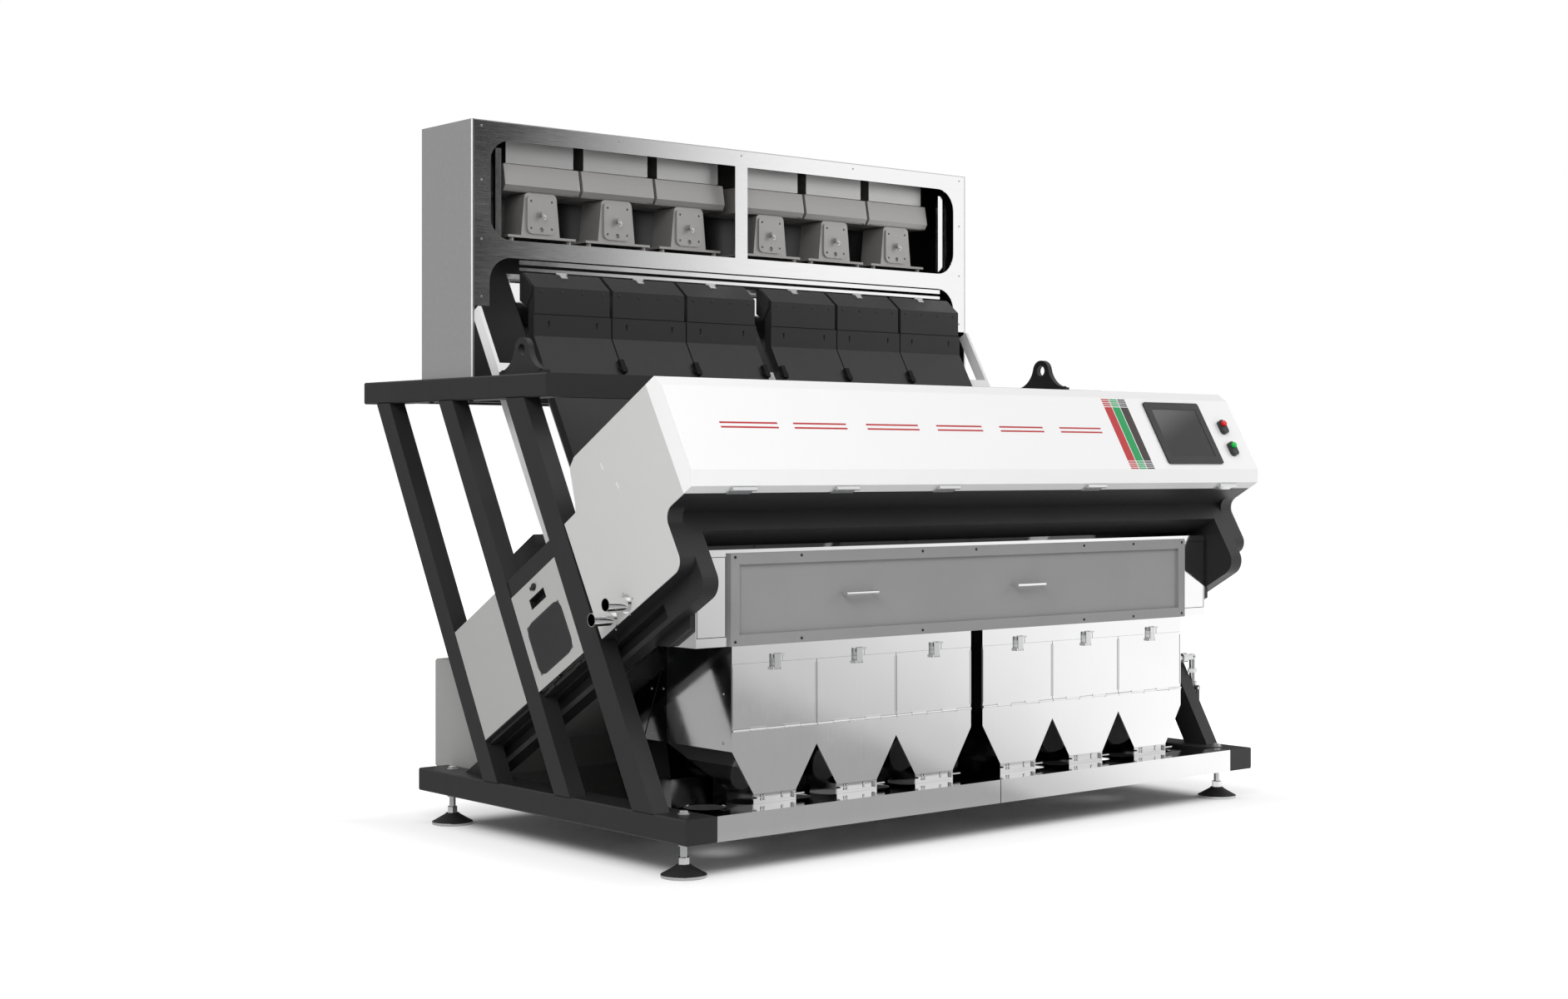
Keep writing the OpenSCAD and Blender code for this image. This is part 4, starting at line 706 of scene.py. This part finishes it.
def fixings(name, spots, radius, kind, finish):
    """Sets one head on every spot of the frame; a spot is a place and the way the head looks."""
    cloud = bpy.data.meshes.new(name + "_spots")
    cloud.from_pydata([tuple(p) for p, _ in spots], [], [])
    aim = cloud.attributes.new("aim", "FLOAT_VECTOR", "POINT")
    for item, (_, direction) in zip(aim.data, spots):
        item.vector = direction
    head = bpy.data.objects.new("head", head_mesh(kind))
    tree = bpy.data.node_groups.get("fixings") or fixing_tree()
    mesh = run_tree(bpy.data.objects.new(name, cloud), tree,
                    {"Head": head, "Radius": radius, "Finish": Finishes.get(finish)})
    bpy.data.objects.remove(head)
    if not mesh.polygons:
        raise RuntimeError(f"{name}: no heads were made")
    mesh.name = name
    return hand_over(bpy.data.objects.new(name, mesh), finish, "frame")


class SORTER_OT_coat_solids(bpy.types.Operator):
    """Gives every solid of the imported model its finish"""

    bl_idname = "sorter.coat_solids"
    bl_label = "Coat the solids"

    def execute(self, context):
        left = set(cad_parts)
        for finish, nodes in COATS.items():
            for node in nodes:
                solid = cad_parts[node]
                solid.data.materials.clear()
                solid.data.materials.append(Finishes.get(finish))
                left.discard(node)
        if left:
            raise RuntimeError(f"no finish for {sorted(left)}")
        return {"FINISHED"}


class SORTER_OT_lid_stripes(bpy.types.Operator):
    """Lays the red double dashes and the three upright stripes on the lid"""

    bl_idname = "sorter.lid_stripes"
    bl_label = "Lid stripes"

    def execute(self, context):
        film = context.scene.sorter_trim.film

        def strip(shape, x0, x1, s0, s1):
            shape.slab(on_lid(x0, s0), span(x0, x1), E1 * ((s1 - s0) * MM), -E2 * film)

        dashes, dash_tall = Shape(), 5.5
        for x0, x1 in ((-1047, -841), (-783, -585), (-507, -301), (-226, -36), (40, 232), (308, 499)):
            for s in (131.5, 146.0):
                strip(dashes, x0, x1, s, s + dash_tall)
        dashes.done("lid_dashes", "red_film", "lid_white", "front_lid")
        wide, pitch, tall = 35.5, 7.5, 5.0
        for name, x in (("red", 562.0), ("green", 601.0), ("dark", 640.0)):
            bars = Shape()
            strip(bars, x, x + wide, 31.0, 230.0)
            for k in range(4):
                for s in (1.0 + pitch * k, 233.0 + pitch * k):
                    strip(bars, x, x + wide, s, s + tall)
            bars.done(f"lid_stripe_{name}", f"{name}_film", "lid_white", "front_lid")
        return {"FINISHED"}


class SORTER_OT_chute_trim(bpy.types.Operator):
    """Sets the screws, keyholes, clips, lap shadows, head rails and hinge blocks of the chutes"""

    bl_idname = "sorter.chute_trim"
    bl_label = "Chute trim"

    def execute(self, context):
        trim = context.scene.sorter_trim
        face, lap = 1122.6, 1119.6
        screw_z, roof_z, lap_z = 1663, 1725, 1590.4
        screws = [(at(x + dx, face, screw_z), -Y) for x in CHUTE_XS for dx in (-118, -40, 40, 118)]
        fixings("chute_screws", screws, trim.screw, "socket", "dark_alloy")
        holes, hole_r, hole_d = Shape(), 0.0042, 0.0013
        for x in CHUTE_XS:
            for dx in (-92, 92):
                holes.turned(at(x + dx, lap + 1, 1568), -Y, [(hole_r, 0.0), (hole_r, hole_d)], 14)
                holes.slab(at(x + dx - 2, lap + 1, 1553), X * 0.004, Z * 0.014, -Y * hole_d)
        holes.done("chute_keyholes", "gap_and_shadow_black", "frame_black")
        roof_in, roof_up = 61.0, 48.0
        clips, rise = Shape(), Vector((0.0, roof_in, roof_up)).normalized()
        proud = Vector((0.0, -roof_up, roof_in)).normalized()
        for x in CHUTE_XS:
            top = at(x, face + roof_in, roof_z)
            clips.slab(top - X * 0.02 - rise * 0.004, X * 0.04, rise * 0.01, proud * 0.003)
            clips.slab(top - X * 0.012 - rise * 0.022, X * 0.024, rise * 0.02, proud * 0.0026)
        clips.soften(0.0008).done("chute_clips", "zinc_plate", "bright_steel")
        # Painted shadow: a near-black strip just above the top edge of each lower cover plate.
        laps, half_cover = Shape(), 144
        for x in CHUTE_XS:
            laps.slab(at(x - half_cover, face + 1, lap_z), X * 0.288, Z * 0.003, -Y * 0.0016)
        laps.done("chute_lap_shadows", "gap_and_shadow_black", "frame_black")
        rail = Shape()
        back = (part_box("cabinet_front")[1].y - FRONT_Y) / MM + 3
        for z, tall in ((1736, 0.01), (1756, 0.014)):
            rail.slab(at(-905, back, z), X * 1.86, Z * tall, Y * 0.004)
        rail.done("chute_head_rails", "polished_sheet", "stainless_polished")
        blocks, hinge_b = Shape(), 294
        for x in (-634, -332, -40, 40, 332, 634):
            blocks.slab(on_deck(x - 9, 1602, hinge_b), X * 0.018, E1 * 0.046, -E2 * 0.013)
            blocks.slab(on_deck(x - 15, 1610, hinge_b), X * 0.03, E1 * 0.012, -E2 * 0.009)
        blocks.soften(0.0016).done("chute_hinge_blocks", "gap_and_shadow_black", "black_plastic")
        return {"FINISHED"}


class SORTER_OT_funnel_trim(bpy.types.Operator):
    """Sets the door edges, spout slots and pins, rail ledges, seam and bolts of the funnels"""

    bl_idname = "sorter.funnel_trim"
    bl_label = "Funnel trim"

    def execute(self, context):
        trim = context.scene.sorter_trim
        door_y, edge_w = at(0, 102, 0).y, 0.0032
        for i in range(1, 7):
            low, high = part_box(f"funnel_door_{i}")
            edge = Shape()
            for x in (low.x + 0.0004, high.x - 0.0036):
                edge.slab(Vector((x, door_y, 0.392)), X * edge_w, Z * 0.164, -Y * 0.0016)
            edge.done(f"funnel_door_edges_{i}", "polished_sheet", "stainless_polished",
                      f"funnel_door_{i}")
        dark, bright = Shape(), Shape()
        slots = ((-54, 179, 7, 7), (-44, 179, 7, 7), (-54, 189, 7, 7), (-44, 189, 7, 7), (22, 181, 8, 15))
        rim = 2.4
        for x in FUNNEL_XS:
            for dx, z, w, h in slots:
                dark.slab(at(x + dx, 102.5, z), X * (w * MM), Z * (h * MM), -Y * 0.0009)
                bright.slab(at(x + dx + 1.6, 102.2, z + 1.2), X * ((w - rim) * MM),
                            Z * ((h - rim) * MM), -Y * 0.0012)
            dark.slab(at(x - 80, 103, 186), X * 0.009, Z * 0.004, -Y * 0.008)
            bright.tube([at(x + 62, 98, 187), at(x + 104, 98, 187)], 0.0024, 10)
            bright.turned(at(x + 66, 98, 178), Z, [(0.0042, 0.0), (0.0042, 0.016)], 14)
            bright.slab(at(x + 60, 102.5, 180), X * 0.012, Z * 0.012, -Y * 0.004)
            bright.tube([at(x + 4, 94, 586), at(x + 28, 94, 586)], 0.0026, 10)
            bright.tube([at(x + 22, 94, 587), at(x + 22, 94, 566)], 0.0012, 8)
        dark.done("spout_slots", "gap_and_shadow_black", "stainless_polished")
        bright.done("spout_pins", "zinc_plate", "bright_steel")
        ledge = Shape()
        for x0, x1 in ((-1004, -3), (3, 1004)):
            ledge.slab(at(x0, 60.5, 168.2), span(x0, x1), Y * 0.0405, Z * 0.0016)
        ledge.done("rail_ledges", "polished_sheet", "stainless_polished")
        seam, wall_x = Shape(), 957.8
        top, foot = at(-wall_x, 401.5, 578), at(-wall_x, 507, 326)
        seam.slab(top, foot - top, Y * 0.004, -X * 0.0008)
        seam.done("funnel_wall_seam", "gap_and_shadow_black", "stainless_polished")
        spots = ((472, 471), (416, 475), (472, 343), (140, 480), (140, 343))
        bolts = [(at(side * 957.9, y, z), X * side) for side in SIDES for y, z in spots]
        fixings("funnel_wall_bolts", bolts, trim.screw, "socket", "plated_steel")
        return {"FINISHED"}


class SORTER_OT_cover_screws(bpy.types.Operator):
    """Folds the border of the access cover and sets its screws and those of the pipe flanges"""

    bl_idname = "sorter.cover_screws"
    bl_label = "Cover screws"

    def execute(self, context):
        trim = context.scene.sorter_trim
        low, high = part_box("access_cover")
        border, wide, proud = Shape(), 0.0315, 0.005
        for z in (low.z, high.z - wide):
            border.slab(Vector((low.x, low.y, z)), X * (high.x - low.x), Z * wide, -Y * proud)
        for x in (low.x, high.x - wide):
            border.slab(Vector((x, low.y, low.z + wide)), X * wide, Z * (high.z - low.z - 2 * wide),
                        -Y * proud)
        border.done("access_border", "access_coat", "access_grey")
        face = low.y - proud
        rows = ((862, (-953, -711, -236, -11, 474, 711, 953)), (627, (-953, -711, -236, 474, 711, 953)))
        spots = [(Vector((MID_X + x * MM, face, z * MM)), -Y) for z, xs in rows for x in xs]
        fixings("access_screws", spots, trim.screw, "socket", "black_plastic")
        ring, ring_r = [], 32.5
        for y, z in ((264, 735), (330, 690)):
            for k in range(4):
                turn = math.radians(60 + 90 * k)
                ring.append((at(-1200, y + ring_r * math.cos(turn), z + ring_r * math.sin(turn)), -X))
        fixings("pipe_flange_screws", ring, 0.003, "socket", "plated_steel")
        return {"FINISHED"}


class SORTER_OT_frame_bolts(bpy.types.Operator):
    """Sets the nuts, collars and rims of the feet and the bolts of the top bars and lifting eyes"""

    bl_idname = "sorter.frame_bolts"
    bl_label = "Frame bolts"

    def execute(self, context):
        trim = context.scene.sorter_trim
        nuts = [(at(x, y, 170), Z) for x, y in FEET]
        fixings("foot_nuts", nuts, 0.013, "hexagon", "zinc_plate")
        collar = [(0.0165, 0.0), (0.0165, 0.019), (0.0152, 0.02)]
        rim = [(0.0631, 0.0), (0.0636, 0.001), (0.0636, 0.0062), (0.0628, 0.0072)]
        collars, rims = Shape(), Shape()
        for x, y in FEET:
            collars.turned(at(x, y, 34), Z, collar, 6)
            rims.turned(at(x, y, 0.5), Z, rim, 48)
        collars.done("foot_collars", "pipe_steel", "bright_steel")
        rims.done("foot_rims", "plated_steel", "bright_steel")
        low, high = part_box("top_side_bars")
        under = [(Vector((MID_X + side * 1.17, low.y + dy, low.z)), -Z)
                 for side in SIDES for dy in (0.2, 0.45, 0.68, 0.93)]
        fixings("bar_bolts", under, trim.bolt, "hexagon", "black_plastic")
        plate_top = high.z + 0.0142
        feet = [(Vector((MID_X + side * 1.135, at(0, y, 0).y, plate_top)), Z)
                for side in SIDES for y in (784, 985)]
        fixings("eye_bolts", feet, 0.006, "hexagon", "frame_coat")
        return {"FINISHED"}


class SORTER_OT_sorting_trim(bpy.types.Operator):
    """Lays the folded strips and their seams at the ends of the sorting box"""

    bl_idname = "sorter.sorting_trim"
    bl_label = "Sorting box trim"

    def execute(self, context):
        strips = Shape()
        for x0, x1 in ((-1083.5, -975.0), (975.0, 1083.5)):
            strips.slab(at(x0, 105.5, 617), span(x0, x1), Z * 0.024, -Y * 0.0022)
            strips.slab(at(x0, 105.5, 643), span(x0, x1), Z * 0.234, -Y * 0.0012)
        strips.soften(0.0005, 1).done("sorting_end_strips", "mirror_sheet", "stainless_polished")
        lines, wide, proud = Shape(), 0.0016, 0.0008
        for x0, x1 in ((-1080.0, -978.0), (978.0, 1080.0)):
            for z in (641.0, 862.0):
                lines.slab(at(x0, 104.5, z), span(x0, x1), Z * wide, -Y * proud)
            for x in (x0, x1 - 1.6):
                lines.slab(at(x, 104.5, 643), X * wide, Z * 0.219, -Y * proud)
        lines.done("sorting_end_seams", "gap_and_shadow_black", "stainless_polished")
        return {"FINISHED"}


class SORTER_OT_cover_trim(bpy.types.Operator):
    """Lays two short white strips on each side cover, lines the service door's pull and wings its lock"""

    bl_idname = "sorter.cover_trim"
    bl_label = "Cover trim"

    def execute(self, context):
        white_marks, fall = Shape(), Vector((0.0, -0.6, -0.8))
        for side in SIDES:
            for y, z in ((387, 1123), (312, 1070)):
                white_marks.slab(at(side * 1199.7, y, z), fall * 0.022, Y * 0.0028, X * (side * 0.0008))
        white_marks.done("cover_slits", "lid_coat", "lid_white")
        low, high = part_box("door_filter")
        b = ((low + high) / 2 - Vector((MID_X, FRONT_Y, DECK_Z))).dot(E2) / MM
        lining, sheet, deep = Shape(), 0.0006, 0.023
        pull_a, across, up = 820.0, E2 * 0.085, E1 * 0.031
        lining.slab(on_deck(-1174.6, pull_a, b - 42.5), across, up, -X * sheet)
        for a in (pull_a, 850.6):
            lining.slab(on_deck(-1198.5, a, b - 42.5), across, E1 * sheet, X * deep)
        for place in (b - 42.7, b + 42.1):
            lining.slab(on_deck(-1198.5, pull_a, place), E2 * sheet, up, X * deep)
        wing, lock = Shape(), at(-1202.8, 721.4, 762.7)
        wing.slab(lock - E2 * 0.015 - E1 * 0.0045, E2 * 0.03, E1 * 0.009, -X * 0.003)
        wing.soften(0.002).done("door_lock_wing", "black_plastic", "black_plastic", "door_lock")
        lining.done("door_pull_lining", "black_plastic", "black_plastic", "service_door")
        return {"FINISHED"}


class SORTER_OT_rear_trim(bpy.types.Operator):
    """Builds the doors, louvres, locks and glands of the control box and the cabinet's rear panels"""

    bl_idname = "sorter.rear_trim"
    bl_label = "Rear trim"

    def execute(self, context):
        trim = context.scene.sorter_trim
        low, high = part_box("control_box")
        doors, locks, slats = Shape(), Shape(), []
        tall, edge, proud = high.z - low.z, 0.028, 0.0026
        lock = [(0.012, 0.0), (0.012, 0.004), (0.009, 0.0055), (0.0035, 0.0055)]
        hinge = [(0.006, 0.0), (0.006, 0.06)]
        for x0, x1 in ((-1055, -12), (12, 1055)):
            corner = Vector((MID_X + x0 * MM, high.y - 0.0005, low.z + edge))
            doors.slab(corner, span(x0, x1), Z * (tall - 2 * edge), Y * 0.0032)
            inner, outer = (x1, x0) if x0 < 0 else (x0, x1)
            lock_x = MID_X + inner * MM - math.copysign(0.034, inner)
            for rise in (0.3, 0.7):
                locks.turned(Vector((lock_x, high.y + proud, low.z + tall * rise)), Y, lock, 20)
            for rise in (0.22, 0.78):
                place = Vector((MID_X + outer * MM, high.y + 0.001, low.z + tall * rise - 0.03))
                locks.turned(place, Z, hinge, 14)
            for centre in (0.3, 0.7):
                slat_x = MID_X + (x0 + (x1 - x0) * centre) * MM
                for k in range(9):
                    slats.append((Vector((slat_x, high.y + proud, low.z + 0.1 + 0.018 * k)), Y))
        doors.soften(0.001, 1).done("control_doors", "box_coat", "cover_grey")
        locks.done("control_locks", "plated_steel", "bright_steel", smooth=True)
        fixings("control_louvres", slats, 0.075, "louvre", "box_coat")
        glands, cap = Shape(), [(0.0125, 0.0), (0.0125, 0.014), (0.0095, 0.019), (0.006, 0.019)]
        for k in range(4):
            foot = Vector((high.x - 0.0005, low.y + 0.08 + 0.05 * k, low.z + 0.06))
            glands.turned(foot, X, [(0.016, 0.0), (0.016, 0.006)], 6)
            glands.turned(foot + X * 0.005, X, cap, 18)
        glands.done("control_glands", "black_plastic", "black_plastic")
        low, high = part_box("cabinet_shell")
        panels, screws = Shape(), []
        margin, joint, sheet = 0.03, 0.006, 0.0024
        pitch = (high.x - low.x - 2 * margin) / 3
        wide, tall = pitch - 2 * joint, high.z - low.z - 2 * margin
        for k in range(3):
            corner = Vector((low.x + margin + pitch * k + joint, high.y - 0.0005, low.z + margin))
            panels.slab(corner, X * wide, Z * tall, Y * sheet)
            for u in (0.02, 0.34, 0.66, 0.98):
                for v in (0.025, 0.5, 0.975):
                    if v != 0.5 or u in (0.02, 0.98):
                        screws.append((corner + X * (wide * u) + Z * (tall * v) + Y * sheet, Y))
        panels.soften(0.0008, 1).done("cabinet_rear_panels", "cabinet_sheet", "stainless_brushed")
        fixings("cabinet_rear_screws", screws, trim.screw, "socket", "plated_steel")
        return {"FINISHED"}


class SORTER_OT_cabinet_trim(bpy.types.Operator):
    """Sets the cabinet's front screws, painted corner highlights and inner posts, and the feeders' knobs"""

    bl_idname = "sorter.cabinet_trim"
    bl_label = "Cabinet trim"

    def execute(self, context):
        low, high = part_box("cabinet_front")
        screws = [(Vector((low.x + (high.x - low.x) * u, low.y, high.z - 0.016)), -Y)
                  for u in (0.012, 0.26, 0.5, 0.74, 0.988)]
        screws += [(Vector((x, low.y, low.z + (high.z - low.z) * v)), -Y)
                   for x in (low.x + 0.026, high.x - 0.026) for v in (0.05, 0.36, 0.68)]
        fixings("cabinet_screws", screws, 0.0035, "socket", "plated_steel")
        shell_low, shell_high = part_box("cabinet_shell")
        corners, posts, knobs = Shape(), Shape(), Shape()
        # Painted highlight: a thin light strip down each front corner of the cabinet shell, standing in for
        # the gleam on its rounded bend.
        for x, turn in ((shell_low.x, 1), (shell_high.x, -1)):
            foot = Vector((x + turn * 0.0008, shell_low.y + 0.0048, shell_low.z + 0.001))
            corners.slab(foot, Vector((turn * 0.004, -0.0036, 0.0)),
                         Z * (shell_high.z - shell_low.z - 0.002),
                         Vector((-turn * 0.0004, -0.0005, 0.0)))
        corners.done("cabinet_corner_beads", "rail_coat", "stainless_brushed")
        for side in SIDES:
            for x0, x1 in ((962, 984), (1000, 1030)):
                posts.slab(at(side * x0, 1262, 1832), span(side * x0, side * x1), Z * 0.29, Y * 0.012)
        posts.soften(0.002).done("cabinet_inner_posts", "polished_sheet", "stainless_polished")
        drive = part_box("feeder_drives")[0]
        knob = [(0.0085, 0.0), (0.0085, 0.003), (0.004, 0.0035), (0.004, 0.009), (0.003, 0.01)]
        for x in CHUTE_XS:
            foot = Vector((MID_X + x * MM, drive.y + 0.0005, drive.z + 0.0915))
            knobs.turned(foot, -Y, knob, 16)
        knobs.done("feeder_knobs", "zinc_plate", "bright_steel")
        return {"FINISHED"}


class SORTER_OT_filter_mesh(bpy.types.Operator):
    """Weaves the wire mesh over the service door's filter"""

    bl_idname = "sorter.filter_mesh"
    bl_label = "Filter mesh"

    def execute(self, context):
        trim = context.scene.sorter_trim
        low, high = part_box("door_filter")
        middle = (low + high) / 2
        width, height = 0.187, 0.154
        tree = bpy.data.node_groups.get("lattice") or lattice_tree()
        carrier = bpy.data.objects.new("filter_weave", bpy.data.meshes.new("filter_field"))
        mesh = run_tree(carrier, tree, {
            "Width": width, "Height": height, "Pitch": trim.wire_pitch, "Wire": trim.wire,
            "Finish": Finishes.get("filter_mesh")})
        turn = Matrix((E2, E1, -X)).transposed().to_4x4()
        mesh.transform(Matrix.Translation(Vector((low.x - 0.0002, middle.y, middle.z))) @ turn)
        mesh.name = "filter_weave"
        weave = bpy.data.objects.new("filter_weave", mesh)
        hand_over(weave, "filter_mesh", "service_door")
        return {"FINISHED"}


class SORTER_OT_studio(bpy.types.Operator):
    """Sets the floor, the soft lamps and the camera"""

    bl_idname = "sorter.studio"
    bl_label = "Studio"

    def execute(self, context):
        scene, stage = context.scene, context.scene.sorter_stage
        self.room(scene, stage)
        self.floor()
        self.lamp("key", (-5.0, -4.0, 4.4), 3.4, stage.key)
        self.lamp("fill", (4.8, -3.2, 3.2), 3.0, stage.fill)
        eye = bpy.data.cameras.new("eye")
        eye.sensor_fit, eye.sensor_width = "HORIZONTAL", 36.0
        eye.lens, eye.shift_y, eye.clip_end = stage.lens, -0.02043, 100.0
        camera = bpy.data.objects.new("eye", eye)
        camera.location = stage.eye
        camera.rotation_euler = (math.radians(90.0), 0.0, -stage.yaw)
        scene.collection.objects.link(camera)
        scene.camera = camera
        scene.view_settings.view_transform = "Standard"
        return {"FINISHED"}

    @staticmethod
    def room(scene, stage):
        """White where it is seen straight; in metal, dark and light walls under a white ceiling."""
        scene.world = bpy.data.worlds.new("room")
        paint = Paint(scene.world)
        camera, gloss, through = paint.rays()
        straight = camera.most(through)
        x, y, z = paint.axes(paint.node("ShaderNodeTexCoord", out="Generated"))
        behind, above = y.ramp(-0.25, 0.3, 0.0, 1.0), z.ramp(0.3, 0.85, 0.0, 1.0)
        walls = x.ramp(0.535, 0.65, 0.04, 1.0) * (1.0 - behind) + behind * x.ramp(-0.5, 0.1, 0.4, 0.1)
        mirrored = walls * (1.0 - above) + above
        unseen = mirrored * gloss + (1.0 - gloss) * stage.sky
        paint.close(paint.node("ShaderNodeBackground", None, {
            "Color": WHITE, "Strength": unseen * (1.0 - straight) + straight}), "ShaderNodeOutputWorld")

    @staticmethod
    def floor():
        """A pale floor that keeps the shadow near the base and turns white away from it."""
        mesh, half = bpy.data.meshes.new("floor"), 30.0
        corners = [(-half, -half, 0), (half, -half, 0), (half, half, 0), (-half, half, 0)]
        mesh.from_pydata(corners, [], [(0, 1, 2, 3)])
        floor = bpy.data.objects.new("floor", mesh)
        bpy.context.scene.collection.objects.link(floor)
        paint = Paint(bpy.data.materials.new("studio_floor"))
        x, y, _ = paint.axes(paint.place())
        low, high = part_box("base_side_beams")
        across = abs(x - (low.x + high.x) / 2) - (high.x - low.x) / 2
        along = abs(y - (low.y + high.y) / 2) - (high.y - low.y) / 2
        outside = across.most(along)
        away = outside.ramp(-0.14, 0.04, 0.0, 0.42) + outside.ramp(0.0, 0.6, 0.0, 0.55)
        camera, gloss, through = paint.rays()
        seen = camera.most(gloss).most(through)
        reach = (x * x + y * y) ** 0.5
        sideways = x / (reach + 0.01)
        fade = sideways.ramp(0.4, 0.5, 0.36, 0.6) + sideways.ramp(0.5, 0.8, 0.0, 0.48)
        matt = paint.node("ShaderNodeBsdfDiffuse", None, {"Color": (0.9, 0.9, 0.9, 1.0)})
        lit = paint.node("ShaderNodeEmission", None, {
            "Color": WHITE, "Strength": (1.0 - gloss) * 1.3 + gloss * fade})
        mixed = paint.node("ShaderNodeMixShader", None, {0: seen * away, 1: matt, 2: lit})
        paint.close(mixed, "ShaderNodeOutputMaterial")
        mesh.materials.append(paint.owner)

    @staticmethod
    def lamp(name, place, size, power):
        light = bpy.data.lights.new(name, "AREA")
        light.shape, light.size, light.energy = "DISK", size, power
        lamp = bpy.data.objects.new(name, light)
        lamp.location = place
        lamp.visible_glossy = False
        aim = Z - Vector(place)
        lamp.rotation_euler = aim.to_track_quat("-Z", "Y").to_euler()
        bpy.context.scene.collection.objects.link(lamp)


class SORTER_PT_panel(bpy.types.Panel):
    """Lists the steps and their values"""

    bl_idname = "SORTER_PT_panel"
    bl_label = "Colour sorter"
    bl_space_type = "VIEW_3D"
    bl_region_type = "UI"
    bl_category = "Sorter"

    def draw(self, context):
        for step in STEPS:
            self.layout.operator(step.bl_idname)
        for group in (context.scene.sorter_colours, context.scene.sorter_trim, context.scene.sorter_stage):
            for key in group.__annotations__:
                self.layout.prop(group, key)


STEPS = (
    SORTER_OT_studio,
    SORTER_OT_coat_solids,
    SORTER_OT_lid_stripes,
    SORTER_OT_chute_trim,
    SORTER_OT_funnel_trim,
    SORTER_OT_sorting_trim,
    SORTER_OT_cover_screws,
    SORTER_OT_cover_trim,
    SORTER_OT_frame_bolts,
    SORTER_OT_cabinet_trim,
    SORTER_OT_rear_trim,
    SORTER_OT_filter_mesh,
)
CLASSES = (SorterColours, SorterTrim, SorterStage) + STEPS + (SORTER_PT_panel,)


def register():
    for cls in CLASSES:
        bpy.utils.register_class(cls)
    bpy.types.Scene.sorter_colours = PointerProperty(type=SorterColours)
    bpy.types.Scene.sorter_trim = PointerProperty(type=SorterTrim)
    bpy.types.Scene.sorter_stage = PointerProperty(type=SorterStage)


def unregister():
    del bpy.types.Scene.sorter_stage
    del bpy.types.Scene.sorter_trim
    del bpy.types.Scene.sorter_colours
    for cls in reversed(CLASSES):
        bpy.utils.unregister_class(cls)


def main():
    register()
    for step in STEPS:
        family, name = step.bl_idname.split(".")
        getattr(getattr(bpy.ops, family), name)()


if __name__ == "__main__":
    main()
